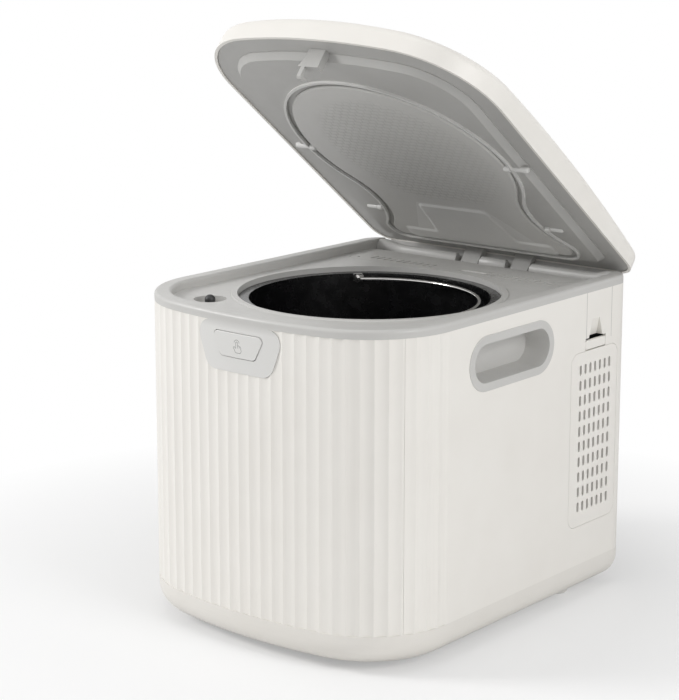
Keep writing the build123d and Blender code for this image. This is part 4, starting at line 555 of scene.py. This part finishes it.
# low walls that close the hinge ledge behind the hinge blocks, in mm
fairingLook = dict(
    low=247.9, top=258.0,
    # (y, z) round one wall, stretched to each station's top and shifted along y
    profile=((146.4, 247.9), (146.4, 253.0), (146.9, 255.4), (148.0, 257.2), (149.6, 258.0), (152.0, 258.0),
             (152.4, 257.6), (152.4, 247.9)),
    # stations are (x, top, shift along y)
    middle=((-13.6, 257, 0), (-12.6, 258, 0), (12.6, 258, 0), (13.6, 257, 0)),
    side=((38.4, 257, 0), (39.4, 258, 0), (96, 258, 0), (104, 258.6, 0), (114, 261.4, -2.4),
          (119.5, 262, -4.4), (121.2, 261.6, -5)),
)


def makeFairing():
    look = fairingLook
    shell = bmesh.new()
    mirrored = [(-x, top, shift) for x, top, shift in reversed(look["side"])]
    for stations in (mirrored, look["middle"], look["side"]):
        loops = []
        for x, top, shift in stations:
            stretch = (top - look["low"]) / (look["top"] - look["low"])
            ring = [(x, y + shift, look["low"] + (z - look["low"]) * stretch) for y, z in look["profile"]]
            loops.append([shell.verts.new([value / 1000 for value in point]) for point in ring])
        skinLoops(shell, loops)
    return meshOf("ledgeFairing", shell)


addPiece("ledgeFairing", makeFairing(), "casing", "deckGrey", smooth=35)


# helpers for Geometry Nodes
def startTree(name, inputs):  # a node group with one geometry in and out and named sizes
    tree = bpy.data.node_groups.new(name, "GeometryNodeTree")
    tree.interface.new_socket(name="Geometry", in_out="INPUT", socket_type="NodeSocketGeometry")
    for label, kind in inputs.items():
        tree.interface.new_socket(name=label, in_out="INPUT", socket_type=kind)
    tree.interface.new_socket(name="Geometry", in_out="OUTPUT", socket_type="NodeSocketGeometry")
    return tree, addNode(tree, "NodeGroupInput"), addNode(tree, "NodeGroupOutput")


def wire(tree, *pairs):
    for source, target in pairs:
        tree.links.new(source, target)


def finishTree(tree, instances, output, finish):
    realize = addNode(tree, "GeometryNodeRealizeInstances")
    dress = addNode(tree, "GeometryNodeSetMaterial")
    dress.inputs["Material"].default_value = materials[finish]
    wire(tree, (instances, realize.inputs["Geometry"]),
         (realize.outputs["Geometry"], dress.inputs["Geometry"]),
         (dress.outputs["Geometry"], output.inputs["Geometry"]))


def growMesh(name, source, tree, values):  # the tree's result on a source mesh, as a plain mesh
    holder = bpy.data.objects.new(name + "Source", source)
    bpy.context.collection.objects.link(holder)
    modifier = holder.modifiers.new("nodes", "NODES")
    modifier.node_group = tree
    identifiers = {item.name: item.identifier for item in tree.interface.items_tree if item.in_out == "INPUT"}
    for label, value in values.items():
        modifier[identifiers[label]] = value
    graph = bpy.context.evaluated_depsgraph_get()
    mesh = bpy.data.meshes.new_from_object(holder.evaluated_get(graph))
    mesh.name = name
    holder.modifiers.remove(modifier)
    bpy.data.objects.remove(holder)
    return mesh


def sourceMesh(name, points, faces=()):
    mesh = bpy.data.meshes.new(name)
    mesh.from_pydata(points, [], list(faces))
    return mesh


# cross-recess screws under the base: places are (x, y), each on both sides
screwLook = dict(
    sides=24, barWidth=0.24, barHeight=1.3,  # shares of the recess's length and of the head's height
    foot=dict(level=0.001, places=((0.082, -0.108), (0.108, 0.094)),
              sizes={"Head Radius": 0.004, "Head Height": 0.0024, "Shaft Radius": 0.0018, "Length": 0.011,
                     "Recess": 0.0045}),
    casing=dict(level=0.0096, places=((0.12, 0.1357), (0.0711, -0.1517)),
                sizes={"Head Radius": 0.0036, "Head Height": 0.0024, "Shaft Radius": 0.0018, "Length": 0.0394,
                       "Recess": 0.0042}),
)


def makeRod(tree, radius, low, high):  # an upright cylinder between two heights
    rod = addNode(tree, "GeometryNodeMeshCylinder")
    rod.inputs["Vertices"].default_value = screwLook["sides"]
    depth = calc(tree, "SUBTRACT", high, low)
    middle = calc(tree, "ADD", calc(tree, "MULTIPLY", depth, 0.5), low)
    place = addNode(tree, "ShaderNodeCombineXYZ")
    move = addNode(tree, "GeometryNodeTransform")
    wire(tree, (radius, rod.inputs["Radius"]), (depth, rod.inputs["Depth"]), (middle, place.inputs["Z"]),
         (rod.outputs["Mesh"], move.inputs["Geometry"]),
         (place.outputs["Vector"], move.inputs["Translation"]))
    return move.outputs["Geometry"]


def makeScrewTree():
    tree, given, output = startTree("screwTree", dict.fromkeys(screwLook["foot"]["sizes"], "NodeSocketFloat"))
    size = given.outputs
    head = makeRod(tree, size["Head Radius"], 0.0, size["Head Height"])
    shaft = makeRod(tree, size["Shaft Radius"], size["Head Height"], size["Length"])
    cut = addNode(tree, "GeometryNodeMeshBoolean", operation="DIFFERENCE")
    wire(tree, (head, cut.inputs[0]))
    for wide, narrow in ((0, 1), (1, 0)):  # the recess is two crossed bars
        bar = addNode(tree, "GeometryNodeMeshCube")
        span = addNode(tree, "ShaderNodeCombineXYZ")
        width = calc(tree, "MULTIPLY", size["Recess"], screwLook["barWidth"])
        height = calc(tree, "MULTIPLY", size["Head Height"], screwLook["barHeight"])
        wire(tree, (size["Recess"], span.inputs[wide]), (width, span.inputs[narrow]),
             (height, span.inputs[2]), (span.outputs["Vector"], bar.inputs["Size"]),
             (bar.outputs["Mesh"], cut.inputs[1]))
    join = addNode(tree, "GeometryNodeJoinGeometry")
    wire(tree, (shaft, join.inputs[0]), (cut.outputs["Mesh"], join.inputs[0]))
    spots = addNode(tree, "GeometryNodeInstanceOnPoints")
    wire(tree, (size["Geometry"], spots.inputs["Points"]), (join.outputs[0], spots.inputs["Instance"]))
    finishTree(tree, spots.outputs["Instances"], output, "turnedSteel")
    return tree


def makeScrews():
    tree = makeScrewTree()
    shell = bmesh.new()
    for kind in ("foot", "casing"):
        look = screwLook[kind]
        points = [(side * x, y, look["level"]) for x, y in look["places"] for side in (-1, 1)]
        shell.from_mesh(growMesh(kind + "Screws", sourceMesh(kind, points), tree, look["sizes"]))
    return meshOf("baseScrews", shell)


addPiece("baseScrews", makeScrews(), "casing", "turnedSteel", node="base_screws")

# carbon granules on the two open faces of each filter block
granuleLook = dict(
    sizes={"Density": 260000.0, "Size": 0.0011, "Seed": 7},
    turn=6.28, smallest=0.6,  # the most that a granule is turned, and its least size
    sideGap=0.0012, middleGap=0.0022, endGap=0.0015,  # bare edges of a block
)


def makeGranuleTree():
    kinds = {"Density": "NodeSocketFloat", "Size": "NodeSocketFloat", "Seed": "NodeSocketInt"}
    tree, given, output = startTree("granuleTree", kinds)
    source = given.outputs
    scatter = addNode(tree, "GeometryNodeDistributePointsOnFaces")
    grain = addNode(tree, "GeometryNodeMeshIcoSphere")
    grain.inputs["Subdivisions"].default_value = 1
    turn = addNode(tree, "FunctionNodeRandomValue", data_type="FLOAT_VECTOR")
    turn.inputs[1].default_value = (granuleLook["turn"],) * 3
    size = addNode(tree, "FunctionNodeRandomValue", data_type="FLOAT_VECTOR")
    size.inputs[0].default_value = (granuleLook["smallest"],) * 3
    size.inputs[1].default_value = (1.0, 1.0, 1.0)
    spots = addNode(tree, "GeometryNodeInstanceOnPoints")
    wire(tree, (source["Geometry"], scatter.inputs["Mesh"]), (source["Density"], scatter.inputs["Density"]),
         (source["Seed"], scatter.inputs["Seed"]), (source["Size"], grain.inputs["Radius"]),
         (scatter.outputs["Points"], spots.inputs["Points"]),
         (grain.outputs["Mesh"], spots.inputs["Instance"]),
         (turn.outputs[0], spots.inputs["Rotation"]), (size.outputs[0], spots.inputs["Scale"]))
    finishTree(tree, spots.outputs["Instances"], output, "carbonBlack")
    return tree


def filterFaces():  # the blocks' large faces, drawn in a little from their edges
    side, inner, end = granuleLook["sideGap"], granuleLook["middleGap"], granuleLook["endGap"]
    low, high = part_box("carbon_filters")
    middle = (low[0] + high[0]) / 2
    floor, roof = low[2] + end, high[2] - end
    points, faces = [], []
    for y in (low[1], high[1]):
        for left, right in ((low[0] + side, middle - inner), (middle + inner, high[0] - side)):
            faces.append(tuple(range(len(points), len(points) + 4)))
            points += [(left, y, floor), (right, y, floor), (right, y, roof), (left, y, roof)]
    return sourceMesh("filterFaces", points, faces)


granules = growMesh("carbonGranules", filterFaces(), makeGranuleTree(), granuleLook["sizes"])
addPiece("carbonGranules", granules, "filter_drawer", "carbonBlack")

# studio: a floor that turns white for the camera away from the object, a white world and four soft lamps
studio = dict(
    floorSize=8.0, floorColor=(0.88, 0.88, 0.88), floorRough=0.9, floorShine=0.1, worldLight=0.36,
    nearFloor=0.32, nearReach=0.21, farReach=0.5,  # white's share near the middle, and where it grows to 1
    aim=(0, 0, 0.2),
    lamps=(  # name, place, size, power
        ("keyLamp", (-1.9, -1.5, 1.4), 0.7, 38),
        ("sideLamp", (2.1, -0.2, 1.2), 1.0, 19),
        ("topLamp", (0.1, -0.4, 2.3), 1.2, 8),
        ("fillLamp", (1.6, -1.3, 0.12), 1.2, 3.5),
    ),
)


def whiteForRays(tree, surface, strength, glow, rays=("Is Camera Ray",)):  # plain white where those rays look
    path = addNode(tree, "ShaderNodeLightPath")
    glow.inputs["Color"].default_value = (1, 1, 1, 1)
    seen = path.outputs[rays[0]]
    for ray in rays[1:]:
        seen = calc(tree, "MAXIMUM", seen, path.outputs[ray])
    mix = addNode(tree, "ShaderNodeMixShader")
    wire(tree, (calc(tree, "MULTIPLY", seen, strength), mix.inputs[0]), (surface, mix.inputs[1]),
         (glow.outputs[0], mix.inputs[2]))
    return mix.outputs[0]


def makePaper():
    paper = bpy.data.materials.new("paperFloor")
    paper.use_nodes = True
    tree = paper.node_tree
    shader = tree.nodes["Principled BSDF"]
    shader.inputs["Base Color"].default_value = (*studio["floorColor"], 1)
    shader.inputs["Roughness"].default_value = studio["floorRough"]
    shader.inputs["Specular IOR Level"].default_value = studio["floorShine"]
    away = calcVector(tree, "LENGTH", objectCoords(tree))
    whiteness = spread(tree, away, studio["nearFloor"], 1, studio["nearReach"], studio["farReach"])
    white = whiteForRays(tree, shader.outputs[0], whiteness, addNode(tree, "ShaderNodeEmission"))
    tree.links.new(white, tree.nodes["Material Output"].inputs[0])
    return paper


def layFloor():
    half = studio["floorSize"]
    corners = [(-half, -half, 0), (half, -half, 0), (half, half, 0), (-half, half, 0)]
    mesh = sourceMesh("floor", corners, [(0, 1, 2, 3)])
    floor = bpy.data.objects.new("floor", mesh)
    bpy.context.collection.objects.link(floor)
    mesh.materials.append(makePaper())


def makeWorld():
    world = bpy.data.worlds.new("studioWorld")
    bpy.context.scene.world = world
    world.use_nodes = True
    tree = world.node_tree
    background = tree.nodes["Background"]
    background.inputs["Color"].default_value = (1, 1, 1, 1)
    background.inputs["Strength"].default_value = studio["worldLight"]
    white = whiteForRays(tree, background.outputs[0], 1.0, addNode(tree, "ShaderNodeBackground"),
                         ("Is Camera Ray", "Is Glossy Ray", "Is Transmission Ray"))
    tree.links.new(white, tree.nodes["World Output"].inputs[0])


def hangLamps():
    for name, place, size, power in studio["lamps"]:
        data = bpy.data.lights.new(name, "AREA")
        data.size = size
        data.energy = power
        lamp = bpy.data.objects.new(name, data)
        lamp.location = place
        lamp.rotation_mode = "QUATERNION"
        lamp.rotation_quaternion = (Vector(studio["aim"]) - Vector(place)).to_track_quat("-Z", "Y")
        bpy.context.collection.objects.link(lamp)


layFloor()
makeWorld()
hangLamps()
print("studio: floor, world and", len(studio["lamps"]), "lamps")

view = dict(place=(1.0164, -1.2719, 0.5852), yaw=39.883, pitch=11.618, lens=106.83, shiftY=-0.08,
            clipStart=0.05)


def placeCamera():
    data = bpy.data.cameras.new("camera")
    data.lens = view["lens"]
    data.shift_y = view["shiftY"]
    data.clip_start = view["clipStart"]
    camera = bpy.data.objects.new("camera", data)
    camera.location = view["place"]
    camera.rotation_euler = (math.radians(90 - view["pitch"]), 0, math.radians(view["yaw"]))
    bpy.context.collection.objects.link(camera)
    bpy.context.scene.camera = camera


placeCamera()
bpy.context.scene.view_settings.view_transform = "Standard"
